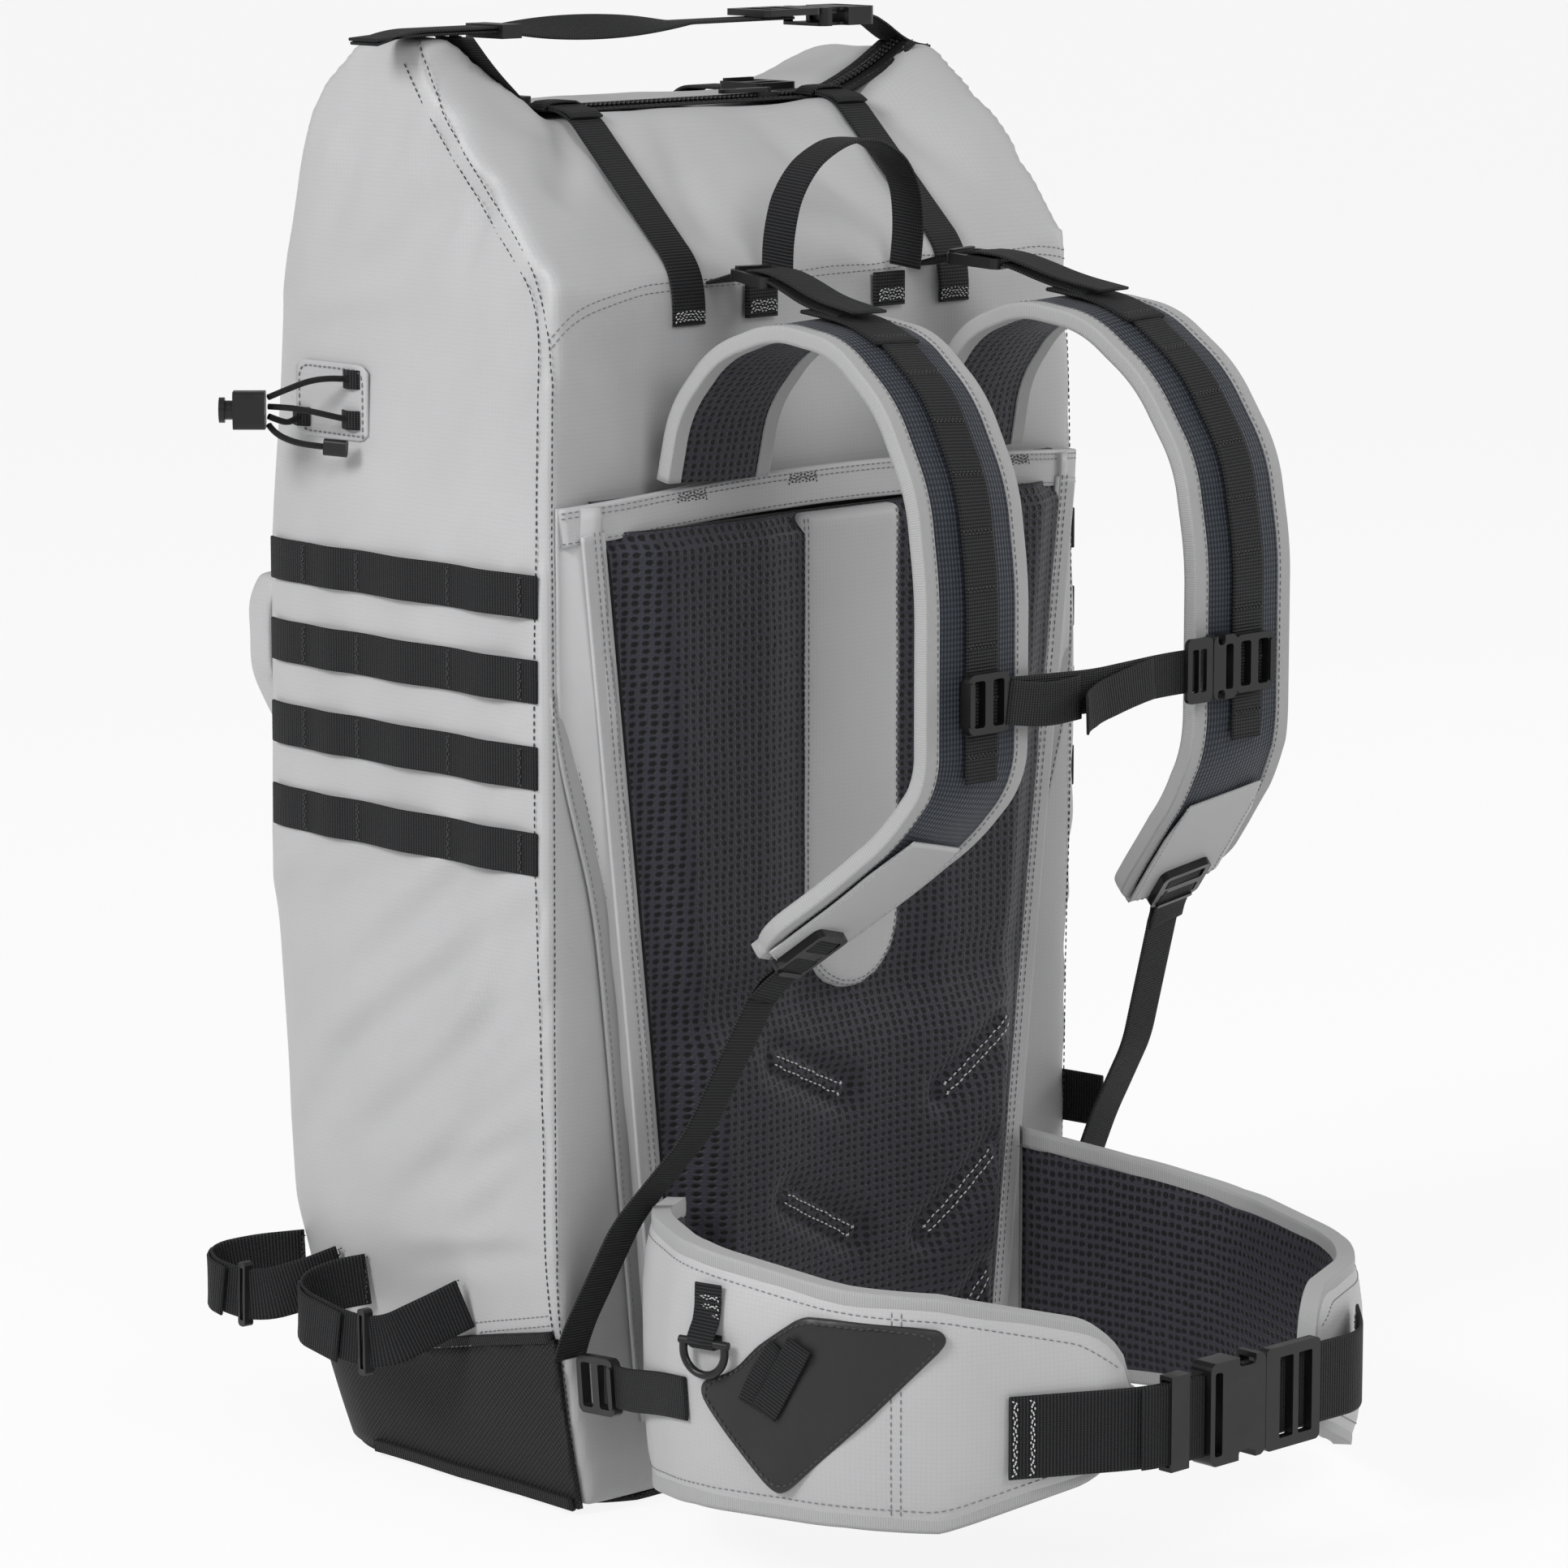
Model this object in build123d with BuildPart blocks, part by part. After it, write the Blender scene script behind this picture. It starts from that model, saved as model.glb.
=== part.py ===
"""Ski backpack, standing on its base with its harness towards -Y. Sizes in millimetres."""
from build123d import *
from math import pi, radians, sqrt, tan
import os

# Driving dimensions ---------------------------------------------------------
GAP = 0.3                     # clearance that seats one soft piece on another
# Heights of the bag's sections, with half width and front depth at each.
BAG_LEVELS = [(3.3, 152, 112), (45, 160, 122), (120, 172, 134), (300, 178, 140),
              (440, 177, 140), (580, 170, 134), (700, 166, 112)]
BACK_Y = -90.0                # flat back of the bag
FRONT_CORNER = 55.0
BACK_CORNER = 14.0
RIDGE_Z = 687.0               # tops of the two upturned ends of the roof
VALLEY_Z = 650.0              # flat middle of the roof
RIGHT_HORN_Z = 672.0
SLOPE_FOOT = (-86.0, 582.0)   # y, z where the roof's back slope starts
SLOPE_RISE = 0.96             # z per y on that slope

WEB = 20.0                    # width of the narrow webbing
WEB_THICK = 1.6
HIP_WEB = 38.0                # width of the hip webbing
HIP_WEB_THICK = 1.8
BOOT_THICK = 3.0

PANEL_THICK = 8.0
PANEL_TOP = 480.0
PANEL_TOP_HALF = 152.0
PANEL_FOOT = 30.0
PANEL_FOOT_HALF = 108.0
SHEET_THICK = 2.0
STAY_SIZE = (25.0, 3.0)
STAY_X = 60.0
PAD_THICK = 18.0
LUMBAR_THICK = 26.0
LUMBAR_TOP = 221.0
LUMBAR_HALF = 110.0
STRIP_HALF = 34.0
STRIP_FOOT = 234.0

SHOULDER_WIDTH = 60.0
SHOULDER_THICK = 10.0
STRAP_X = 88.0                # shoulder strap's centre where it runs upright
STRAP_Y = -275.0
WING_THICK = 18.0
STERNUM_Z = 402.0
HIP_Z = 80.0
HIP_Y = -362.0
CLOSURE_Y = 15.0
COMPRESSION_X = 87.0
HANDLE_HALF = 46.0
CORD_DIAMETER = 3.0

PANEL_Y = BACK_Y - GAP                       # inner face of the back panel
PANEL_FACE = PANEL_Y - PANEL_THICK           # its outer face
PAD_Y = PANEL_FACE - GAP                     # where the pads start
CLOSURE_Z = RIDGE_Z + GAP + WEB_THICK / 2


# Helpers --------------------------------------------------------------------
def save(piece, name):
    """Label one finished piece and write its STEP file."""
    piece.part.label = name
    export_step(piece.part, f"parts/{name}.step")


def ribbon(points, across, width, thick, off=0.0, keep=slice(None)):
    """Strap of flat section, square to its path, which bends at each point.

    off lifts it off the path; keep takes some of the stations."""
    path = [Vector(*point) for point in points]
    runs = [(b - a).normalized() for a, b in zip(path, path[1:])]
    planes = []
    for i, point in enumerate(path):
        along = runs[max(i - 1, 0)] + runs[min(i, len(runs) - 1)]
        planes.append(Plane(origin=point, x_dir=across, z_dir=along))
    with BuildPart() as strap:
        for plane in planes[keep]:
            with BuildSketch(plane):
                with Locations((0, off)):
                    Rectangle(width, thick)
        loft(ruled=True)
    return strap.part


def bag_at(z):
    """Half width and front depth of the bag at one height."""
    for low, high in zip(BAG_LEVELS, BAG_LEVELS[1:]):
        if z <= high[0]:
            share = (z - low[0]) / (high[0] - low[0])
            return tuple(a + share * (b - a) for a, b in zip(low[1:], high[1:]))
    return BAG_LEVELS[-1][1:]


def side_x(y, z, off):
    """X of a point a little off the bag's right side, round its front corner."""
    half, front = bag_at(z)
    past = max(0.0, y - (front - FRONT_CORNER))
    inset = FRONT_CORNER - sqrt(max(FRONT_CORNER**2 - past**2, 0.0))
    return half - inset + off


def bag_shape(grow, top):
    """Tower of the bag's sections, made larger all round by grow, up to one height."""
    levels = [level for level in BAG_LEVELS if level[0] < top] + [(top, *bag_at(top))]
    with BuildPart() as tower:
        for z, half, front in levels:
            with BuildSketch(Plane.XY.offset(z)) as section:
                with Locations((0, (front + BACK_Y) / 2)):
                    Rectangle(2 * (half + grow), front - BACK_Y + 2 * grow)
                front_pair = section.vertices().group_by(Axis.Y)[-1]
                back_pair = section.vertices().group_by(Axis.Y)[0]
                fillet(front_pair, FRONT_CORNER + grow)
                fillet(back_pair, BACK_CORNER + grow)
        loft(ruled=True)
    return tower.part


def ladder_lock(plane, web, length, thick):
    """Webbing adjuster: a frame with two windows, the bar between them left standing."""
    with BuildPart() as lock:
        with BuildSketch(plane):
            RectangleRounded(length, web + 7, 4)
        extrude(amount=thick / 2, both=True)
        with BuildSketch(plane):
            with Locations((-length / 4 + 0.5, 0), (length / 4 - 0.5, 0)):
                RectangleRounded(length / 2 - 6, web + 1, 1.5)
        extrude(amount=thick, both=True, mode=Mode.SUBTRACT)
        with BuildSketch(plane.offset(thick / 2)):
            with Locations((length / 2 - 1.5, 0)):
                RectangleRounded(3, web, 1.4)
        extrude(amount=thick / 4)
    return lock.part


def strap_ring(plane, web, length, thick):
    """Plain rectangular ring for webbing to turn back through."""
    with BuildPart() as ring:
        with BuildSketch(plane):
            RectangleRounded(length, web + 7, 2)
            Rectangle(length - 3.2, web + 1, mode=Mode.SUBTRACT)
        extrude(amount=thick / 2, both=True)
    return ring.part


def buckle_female(plane, length, web, thick):
    """Socket half of a side-release buckle; its mouth is at +x of the plane."""
    width = web + 10
    mouth = length * 0.55
    with BuildPart() as socket:
        with BuildSketch(plane):
            RectangleRounded(length, width, 4)
        extrude(amount=thick / 2, both=True)
        with BuildSketch(plane):
            with Locations((length / 2 - mouth / 2, 0)):
                Rectangle(mouth, width - 5)
        extrude(amount=thick / 2 - 1.6, both=True, mode=Mode.SUBTRACT)
        with BuildSketch(plane):
            with Locations((length / 2 - mouth * 0.6, width / 2), (length / 2 - mouth * 0.6, -width / 2)):
                RectangleRounded(mouth * 0.55, 9, 2)
        extrude(amount=thick, both=True, mode=Mode.SUBTRACT)
        with BuildSketch(plane):
            with Locations((-length / 2 + 5.5, 0)):
                RectangleRounded(5, web + 1, 1.2)
        extrude(amount=thick, both=True, mode=Mode.SUBTRACT)
    return socket.part


def buckle_male(plane, length, web, thick, reach):
    """Plug half: a frame over the webbing and three prongs, which point to -x."""
    width = web + 10
    low = WEB_THICK / 2 + 0.5              # the webbing runs under the frame
    root = -length / 2 - reach / 2 + 2
    with BuildPart() as plug:
        with BuildSketch(plane.offset(low)):
            RectangleRounded(length, width, 3)
        extrude(amount=thick / 2 - low)
        with BuildSketch(plane.offset(low)):
            with Locations((length / 4 - 1, 0), (-length / 8, 0)):
                RectangleRounded(length / 4, web, 1)
        extrude(amount=thick, mode=Mode.SUBTRACT)
        with BuildSketch(plane.offset(low)):
            with Locations((root, 0), (root, width / 2 - 9), (root, 9 - width / 2)):
                Rectangle(reach + 4, 4)
            with Locations((-length / 2 - reach * 0.7, width / 2 - 6),
                           (-length / 2 - reach * 0.7, 6 - width / 2)):
                RectangleRounded(reach * 0.5, 5, 1)
        extrude(amount=thick / 2 - 1.9 - low)
    return plug.part


def mirrored(points, side):
    """The same path on the pack's left (side -1) or right (side 1)."""
    return [(side * x, y, z) for x, y, z in points]


os.makedirs("parts", exist_ok=True)

# Bag ------------------------------------------------------------------------
ZIP_HALF = 104.0
ZIP_Y = 10.0
TAPE_WIDTH = 29.0
GROOVE_DEPTH = 3.0

with BuildPart() as main_bag:
    add(bag_shape(0, 700))
    with BuildSketch(Plane.YZ):
        with BuildLine():
            Polyline((-130, 0), (-130, 494), SLOPE_FOOT, (2.6, 667), (5, 690), (50, 684), (85, 662),
                     (110, 628), (128, 585), (145, 540), (170, 0), close=True)
        make_face()
    extrude(amount=200, both=True, mode=Mode.INTERSECT)
    with BuildSketch(Plane.XZ):
        with BuildLine():
            Polyline((-200, 0), (-200, RIDGE_Z), (-146, RIDGE_Z), (-128, 670), (-105, VALLEY_Z),
                     (105, VALLEY_Z), (130, 660), (150, RIGHT_HORN_Z), (200, 666), (200, 0), close=True)
        make_face()
    extrude(amount=200, both=True, mode=Mode.INTERSECT)
    with Locations((0, ZIP_Y, VALLEY_Z - GROOVE_DEPTH / 2)):
        Box(2 * ZIP_HALF + 1, TAPE_WIDTH + 1, GROOVE_DEPTH, mode=Mode.SUBTRACT)
save(main_bag, "main_bag")

with BuildPart() as base_boot:
    add(bag_shape(GAP + BOOT_THICK, 95))
    with BuildSketch(Plane.XY):
        with Locations((0, (BAG_LEVELS[0][2] + BACK_Y) / 2)):
            RectangleRounded(2 * BAG_LEVELS[0][1], BAG_LEVELS[0][2] - BACK_Y, FRONT_CORNER)
    extrude(amount=BAG_LEVELS[0][0])
    add(bag_shape(GAP, 96), mode=Mode.SUBTRACT)
    with BuildSketch(Plane.YZ):
        with BuildLine():
            Polyline((-86, 0), (-86, 88), (23, 62), (150, 48), (150, 0), close=True)
        make_face()
    extrude(amount=200, both=True, mode=Mode.INTERSECT)
save(base_boot, "base_boot")

POCKET_LOW = 175.0
POCKET_TOP = 430.0
with BuildPart() as front_pocket:
    add(bag_shape(20, 500))
    with Locations((0, 172, (POCKET_LOW + POCKET_TOP) / 2)):
        Box(330, 120, POCKET_TOP - POCKET_LOW, mode=Mode.INTERSECT)
    pocket_rim = front_pocket.edges().group_by(Axis.Y)[-1]
    add(bag_shape(GAP, 500), mode=Mode.SUBTRACT)
save(front_pocket, "front_pocket")

# Top zip --------------------------------------------------------------------
TAPE_THICK = 1.2
TAPE_Z = VALLEY_Z - GROOVE_DEPTH + GAP
COIL_WIDTH = 6.0
COIL_TOP = TAPE_Z + TAPE_THICK + 1.2
with BuildPart() as top_zip:
    with Locations((0, ZIP_Y, TAPE_Z + TAPE_THICK / 2)):
        Box(2 * ZIP_HALF, TAPE_WIDTH, TAPE_THICK)
    with Locations((0, ZIP_Y, COIL_TOP - 0.7)):
        Box(2 * ZIP_HALF, COIL_WIDTH, 1.4)
save(top_zip, "top_zip")

SLIDER_X = 58.0
with BuildPart() as zip_slider:
    with BuildSketch(Plane.XY.offset(COIL_TOP + GAP)):
        with Locations((SLIDER_X, ZIP_Y)):
            RectangleRounded(15, 10, 4)
    extrude(amount=3)
    with BuildSketch(Plane.XY.offset(COIL_TOP + GAP + 3)):
        with Locations((SLIDER_X, ZIP_Y)):
            Rectangle(7, 3)
        with Locations((SLIDER_X - 14, ZIP_Y)):
            RectangleRounded(30, 7, 3)
        with Locations((SLIDER_X - 23, ZIP_Y)):
            RectangleRounded(8, 3.4, 1.5, mode=Mode.SUBTRACT)
    extrude(amount=2)
save(zip_slider, "zip_slider")

# Closure strap over the top -------------------------------------------------
CLOSURE_LEFT = -192.0
CLOSURE_MEET = 88.0            # where the two buckle halves meet
CLOSURE_HALF_LENGTH = 37.0
CLOSURE_BUCKLE_THICK = 9.0
closure_plane = Plane(origin=(0, CLOSURE_Y, CLOSURE_Z), x_dir=(1, 0, 0), z_dir=(0, 0, 1))

female_end = CLOSURE_MEET + CLOSURE_HALF_LENGTH
with BuildPart() as closure_strap:
    add(ribbon([(CLOSURE_LEFT, CLOSURE_Y, CLOSURE_Z), (-146, CLOSURE_Y, CLOSURE_Z),
                (CLOSURE_MEET - 14, CLOSURE_Y, CLOSURE_Z)], (0, 1, 0), WEB, WEB_THICK))
    add(ribbon([(female_end + GAP, CLOSURE_Y, CLOSURE_Z), (female_end + 13, CLOSURE_Y, CLOSURE_Z - 4),
                (151, CLOSURE_Y, RIGHT_HORN_Z + 1.4), (168, CLOSURE_Y, RIGHT_HORN_Z - 1.1)],
               (0, 1, 0), WEB, WEB_THICK))
save(closure_strap, "closure_strap")

with BuildPart() as closure_keeper:
    with Locations((-112, CLOSURE_Y, CLOSURE_Z)):
        Box(12, WEB + 6, WEB_THICK + 5)
        Box(14, WEB + 0.8, WEB_THICK + 0.8, mode=Mode.SUBTRACT)
save(closure_keeper, "closure_keeper")

with BuildPart() as closure_buckle_female:
    add(buckle_female(Plane(origin=(CLOSURE_MEET + CLOSURE_HALF_LENGTH / 2, CLOSURE_Y, CLOSURE_Z),
                            x_dir=(-1, 0, 0), z_dir=(0, 0, 1)),
                      CLOSURE_HALF_LENGTH, WEB, CLOSURE_BUCKLE_THICK))
save(closure_buckle_female, "closure_buckle_female")

with BuildPart() as closure_buckle_male:
    add(buckle_male(Plane(origin=(CLOSURE_MEET - GAP - CLOSURE_HALF_LENGTH / 2, CLOSURE_Y, CLOSURE_Z),
                          x_dir=(-1, 0, 0), z_dir=(0, 0, 1)),
                    CLOSURE_HALF_LENGTH, WEB, CLOSURE_BUCKLE_THICK, 15))
save(closure_buckle_male, "closure_buckle_male")

# Straps over the roof -------------------------------------------------------
ROOF_OFF = GAP + WEB_THICK / 2
LOCK_THICK = 5.0
slope_end = SLOPE_FOOT[0] + (VALLEY_Z - SLOPE_FOOT[1]) / SLOPE_RISE
COMPRESSION_LOCK_Y = 45.0
COMPRESSION_LOCK_LENGTH = 30.0
lock_half = COMPRESSION_LOCK_LENGTH / 2 + GAP
over_roof = [(BACK_Y - ROOF_OFF - 0.1, 556), (BACK_Y - ROOF_OFF - 0.1, 576), (-87.2, 582.9),
             (slope_end - 0.6, VALLEY_Z + ROOF_OFF + 0.2),
             (COMPRESSION_LOCK_Y - lock_half, VALLEY_Z + ROOF_OFF + 0.2)]
down_front = [(COMPRESSION_LOCK_Y + lock_half, VALLEY_Z + ROOF_OFF + 0.2),
              (94.4, VALLEY_Z + ROOF_OFF + 0.2), (111.4, 628.7), (129.4, 585.4)]

with BuildPart() as compression_straps:
    for side in (-1, 1):
        for run in (over_roof, down_front):
            add(ribbon([(side * COMPRESSION_X, y, z) for y, z in run], (1, 0, 0), WEB, WEB_THICK))
save(compression_straps, "compression_straps")

with BuildPart() as compression_buckles:
    for side in (-1, 1):
        add(ladder_lock(Plane(origin=(side * COMPRESSION_X, COMPRESSION_LOCK_Y,
                                      VALLEY_Z + GAP + LOCK_THICK / 2),
                              x_dir=(0, 1, 0), z_dir=(0, 0, 1)),
                        WEB, COMPRESSION_LOCK_LENGTH, LOCK_THICK))
save(compression_buckles, "compression_buckles")

with BuildPart() as compression_keepers:
    for side in (-1, 1):
        with Locations((side * COMPRESSION_X, 0, VALLEY_Z + 2 * ROOF_OFF + 2.2)):
            Box(WEB + 6, 13, 3)
save(compression_keepers, "compression_keepers")

# Grab handle ----------------------------------------------------------------
handle_side = [(HANDLE_HALF - 4, -103, 576), (HANDLE_HALF - 3, -105, 600),
               (HANDLE_HALF - 10, -107, 622), (HANDLE_HALF - 28, -109, 636)]
with BuildPart() as grab_handle:
    add(ribbon(mirrored(handle_side, -1) + handle_side[::-1], (0, 1, 0), WEB, WEB_THICK))
save(grab_handle, "grab_handle")

with BuildPart() as handle_tacks:
    for side in (-1, 1):
        with Locations((side * (HANDLE_HALF - 4), BACK_Y - GAP - 1.4, 569.5)):
            Box(WEB - 2, 2.8, 12)
save(handle_tacks, "handle_tacks")

# Back panel and what is sewn into it ------------------------------------------
with BuildPart() as back_panel:
    with BuildSketch(Plane.XZ.offset(-PANEL_Y)):
        with BuildLine():
            Polyline((-PANEL_FOOT_HALF, PANEL_FOOT), (PANEL_FOOT_HALF, PANEL_FOOT),
                     (PANEL_TOP_HALF, PANEL_TOP), (-PANEL_TOP_HALF, PANEL_TOP), close=True)
        make_face()
    extrude(amount=PANEL_THICK)
    with Locations((0, PANEL_Y - 3, 265)):
        Box(200, 6, 412, mode=Mode.SUBTRACT)
save(back_panel, "back_panel")

with BuildPart() as frame_sheet:
    with Locations((0, PANEL_Y - GAP - SHEET_THICK / 2, 265)):
        Box(196, SHEET_THICK, 408)
save(frame_sheet, "frame_sheet")

with BuildPart() as frame_stays:
    with Locations((STAY_X, PANEL_Y - 2 * GAP - SHEET_THICK - STAY_SIZE[1] / 2, 265),
                   (-STAY_X, PANEL_Y - 2 * GAP - SHEET_THICK - STAY_SIZE[1] / 2, 265)):
        Box(STAY_SIZE[0], STAY_SIZE[1], 400)
save(frame_stays, "frame_stays")

BINDING_LOW = 466.0
for name, side in (("back_pad_left", -1), ("back_pad_right", 1)):
    with BuildPart() as back_pad:
        with BuildSketch(Plane.XZ.offset(-PAD_Y)):
            with BuildLine():
                Polyline((side * (STRIP_HALF + GAP), LUMBAR_TOP + GAP),
                         (side * (LUMBAR_HALF + 14), LUMBAR_TOP + GAP),
                         (side * (PANEL_TOP_HALF - 3), BINDING_LOW - GAP),
                         (side * (STRIP_HALF + GAP), BINDING_LOW - GAP), close=True)
            make_face()
        extrude(amount=PAD_THICK)
    save(back_pad, name)

with BuildPart() as centre_strip:
    with BuildSketch(Plane.XZ.offset(-PAD_Y)):
        with Locations((0, (STRIP_FOOT + STRIP_HALF + BINDING_LOW - GAP) / 2)):
            Rectangle(2 * STRIP_HALF, BINDING_LOW - GAP - STRIP_FOOT - STRIP_HALF)
        with Locations((0, STRIP_FOOT + STRIP_HALF)):
            Circle(STRIP_HALF)
    extrude(amount=PAD_THICK - 5)
save(centre_strip, "centre_strip")

with BuildPart() as lumbar_pad:
    with BuildSketch(Plane.XZ.offset(-PAD_Y)):
        with BuildLine():
            Polyline((-LUMBAR_HALF + 6, 45), (LUMBAR_HALF - 6, 45), (LUMBAR_HALF, LUMBAR_TOP),
                     (-LUMBAR_HALF, LUMBAR_TOP), close=True)
        make_face()
    extrude(amount=LUMBAR_THICK)
save(lumbar_pad, "lumbar_pad")

with BuildPart() as panel_binding:
    with Locations((0, PAD_Y - 1.5, (BINDING_LOW + PANEL_TOP + 5.7) / 2)):
        Box(2 * PANEL_TOP_HALF, 3, PANEL_TOP + 5.7 - BINDING_LOW)
save(panel_binding, "panel_binding")

# Shoulder straps ------------------------------------------------------------
shoulder_path = [(85, -105, 486.4), (84, -112, 520), (82, -136, 548), (80, -172, 561),
                 (81, -212, 556), (84, -245, 532), (87, -268, 495), (STRAP_X, STRAP_Y, 452),
                 (STRAP_X, STRAP_Y, 366), (96, -258, 340), (108, -232, 315), (127, -196, 283)]
FACE_OFF = SHOULDER_THICK / 2 + GAP + WEB_THICK / 2
tip = Vector(*shoulder_path[-1])
tip_run = (tip - Vector(*shoulder_path[-2])).normalized()

for name, side in (("left", -1), ("right", 1)):
    path = mirrored(shoulder_path, side)
    with BuildPart() as shoulder_pad:
        add(ribbon(path, (1, 0, 0), SHOULDER_WIDTH, SHOULDER_THICK))
    save(shoulder_pad, f"shoulder_pad_{name}")

    with BuildPart() as shoulder_webbing:
        add(ribbon(path, (1, 0, 0), WEB, WEB_THICK, FACE_OFF, slice(3, 9)))
    save(shoulder_webbing, f"shoulder_webbing_{name}")

    # The adjuster's lock lies on the strap's tip, and its webbing runs to the bag's foot.
    run = Vector(side * tip_run.X, tip_run.Y, tip_run.Z)
    face = Plane(origin=path[-1], x_dir=(1, 0, 0), z_dir=run).y_dir
    lock_centre = Vector(*path[-1]) - run * 10 + face * (SHOULDER_THICK / 2 + GAP + LOCK_THICK / 2)
    with BuildPart() as shoulder_lock:
        add(ladder_lock(Plane(origin=lock_centre, x_dir=run, z_dir=face), WEB, 30, LOCK_THICK))
    save(shoulder_lock, f"shoulder_lock_{name}")

    lock_end = lock_centre + run * (15 + GAP + 0.3)
    with BuildPart() as adjuster_strap:
        add(ribbon([tuple(lock_end), tuple(lock_end + run * 8),
                    (side * 147, -160, 195), (side * 163, -121, 148), (side * 166, -97, 93),
                    (side * 166, -92.4, 80)],
                   (1, 0, 0), WEB, WEB_THICK))
    save(adjuster_strap, f"adjuster_strap_{name}")

    # Load lifter: from the top of the shoulder strap through a lock to the bag.
    with BuildPart() as lifter_strap:
        add(ribbon(mirrored([(80, -184, 568.4), (79.6, -170, 570.2), (75.3, -144.8, 578.2)], side),
                   (1, 0, 0), WEB, WEB_THICK))
        add(ribbon(mirrored([(67.3, -111.6, 580.6), (66, -90.7, 574.9)], side),
                   (1, 0, 0), WEB - 1, WEB_THICK))
    save(lifter_strap, f"lifter_strap_{name}")

    with BuildPart() as lifter_lock:
        add(ladder_lock(Plane(origin=(side * 71, -128, 579.4), x_dir=(side * -0.2, 1, 0.07),
                              z_dir=(0, -0.07, 1)), WEB, 30, LOCK_THICK))
    save(lifter_lock, f"lifter_lock_{name}")

# Sternum strap --------------------------------------------------------------
STERNUM_Y = STRAP_Y - FACE_OFF - WEB_THICK / 2 - GAP - 2.0
STERNUM_MEET = 58.0
STERNUM_HALF_LENGTH = 17.0
STERNUM_THICK = 7.0
with BuildPart() as sternum_sliders:
    for side in (-1, 1):
        add(ladder_lock(Plane(origin=(side * STRAP_X, STERNUM_Y, STERNUM_Z), x_dir=(side, 0, 0),
                              z_dir=(0, -1, 0)), WEB, 26, 4))
        with Locations((side * STRAP_X + 11.8, STERNUM_Y + 2.7, STERNUM_Z),
                       (side * STRAP_X - 11.8, STERNUM_Y + 2.7, STERNUM_Z)):
            Box(2, 1.6, WEB)
save(sternum_sliders, "sternum_sliders")

with BuildPart() as sternum_strap:
    add(ribbon([(-STRAP_X + 13 + 2 * GAP, STERNUM_Y, STERNUM_Z), (-20, STERNUM_Y - 1, STERNUM_Z - 2),
                (STERNUM_MEET - 30, STERNUM_Y, STERNUM_Z), (STERNUM_MEET - 7, STERNUM_Y, STERNUM_Z)],
               (0, 0, 1), WEB, WEB_THICK))
save(sternum_strap, "sternum_strap")

with BuildPart() as sternum_buckle_female:
    add(buckle_female(Plane(origin=(STERNUM_MEET + STERNUM_HALF_LENGTH / 2, STERNUM_Y, STERNUM_Z),
                            x_dir=(-1, 0, 0), z_dir=(0, -1, 0)),
                      STERNUM_HALF_LENGTH - 0.6, WEB, STERNUM_THICK))
save(sternum_buckle_female, "sternum_buckle_female")

with BuildPart() as sternum_buckle_male:
    add(buckle_male(Plane(origin=(STERNUM_MEET - GAP - STERNUM_HALF_LENGTH / 2, STERNUM_Y, STERNUM_Z),
                          x_dir=(-1, 0, 0), z_dir=(0, -1, 0)),
                    STERNUM_HALF_LENGTH, WEB, STERNUM_THICK, 7))
save(sternum_buckle_male, "sternum_buckle_male")

# Hip belt -------------------------------------------------------------------
wing_plan = [(LUMBAR_HALF + 6, -112), (160, -146), (184, -198), (166, -275), (138, -306), (60, -348)]
WING_TOP = {"left": (150, 157, 155, 145, 142, 122), "right": (146, 130, 118, 112, 112, 118)}
WING_LOW = {"left": (26, 30, 38, 40, 38, 62), "right": (26, 20, 16, 16, 24, 58)}


def wing(side, tops, lows):
    """Padded wing that curves forward round the hip, its height set at each station."""
    plan = [Vector(side * x, y, 0) for x, y in wing_plan]
    runs = [(b - a).normalized() for a, b in zip(plan, plan[1:])]
    with BuildPart() as pad:
        for i, (spot, top, low) in enumerate(zip(plan, tops, lows)):
            along = runs[max(i - 1, 0)] + runs[min(i, len(runs) - 1)]
            origin = spot + Vector(0, 0, (top + low) / 2)
            with BuildSketch(Plane(origin=origin, x_dir=(0, 0, 1), z_dir=along)):
                Rectangle(top - low, WING_THICK)
        loft(ruled=True)
    return pad.part


for name, side in (("left", -1), ("right", 1)):
    with BuildPart() as hip_wing:
        add(wing(side, WING_TOP[name], WING_LOW[name]))
    save(hip_wing, f"hip_wing_{name}")

# Pocket on the left wing: the flat stretch between its third and fourth stations.
rear = Vector(-wing_plan[2][0], wing_plan[2][1], 0)
fore = Vector(-wing_plan[3][0], wing_plan[3][1], 0)
pocket_run = (fore - rear).normalized()
pocket_out = Vector(pocket_run.Y, -pocket_run.X, 0)
POCKET_PLANE = Plane(origin=rear + pocket_out * (WING_THICK / 2 + GAP), x_dir=pocket_run, z_dir=pocket_out)
FLAP_THICK = 2.4
with BuildPart() as hip_pocket_flap:
    with BuildSketch(POCKET_PLANE):
        with BuildLine():
            Polyline((38, 134), (74, 134), (74, 98), (52, 56), (36, 56), (8, 88), close=True)
        make_face()
    extrude(amount=FLAP_THICK)
save(hip_pocket_flap, "hip_pocket_flap")

with BuildPart() as hip_pocket_pull:
    with BuildSketch(POCKET_PLANE.offset(FLAP_THICK + GAP)):
        with BuildLine():
            Polyline((36, 116), (60, 128), (66, 112), (42, 84), (30, 88), close=True)
        make_face()
    extrude(amount=2.4)
save(hip_pocket_pull, "hip_pocket_pull")

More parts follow.
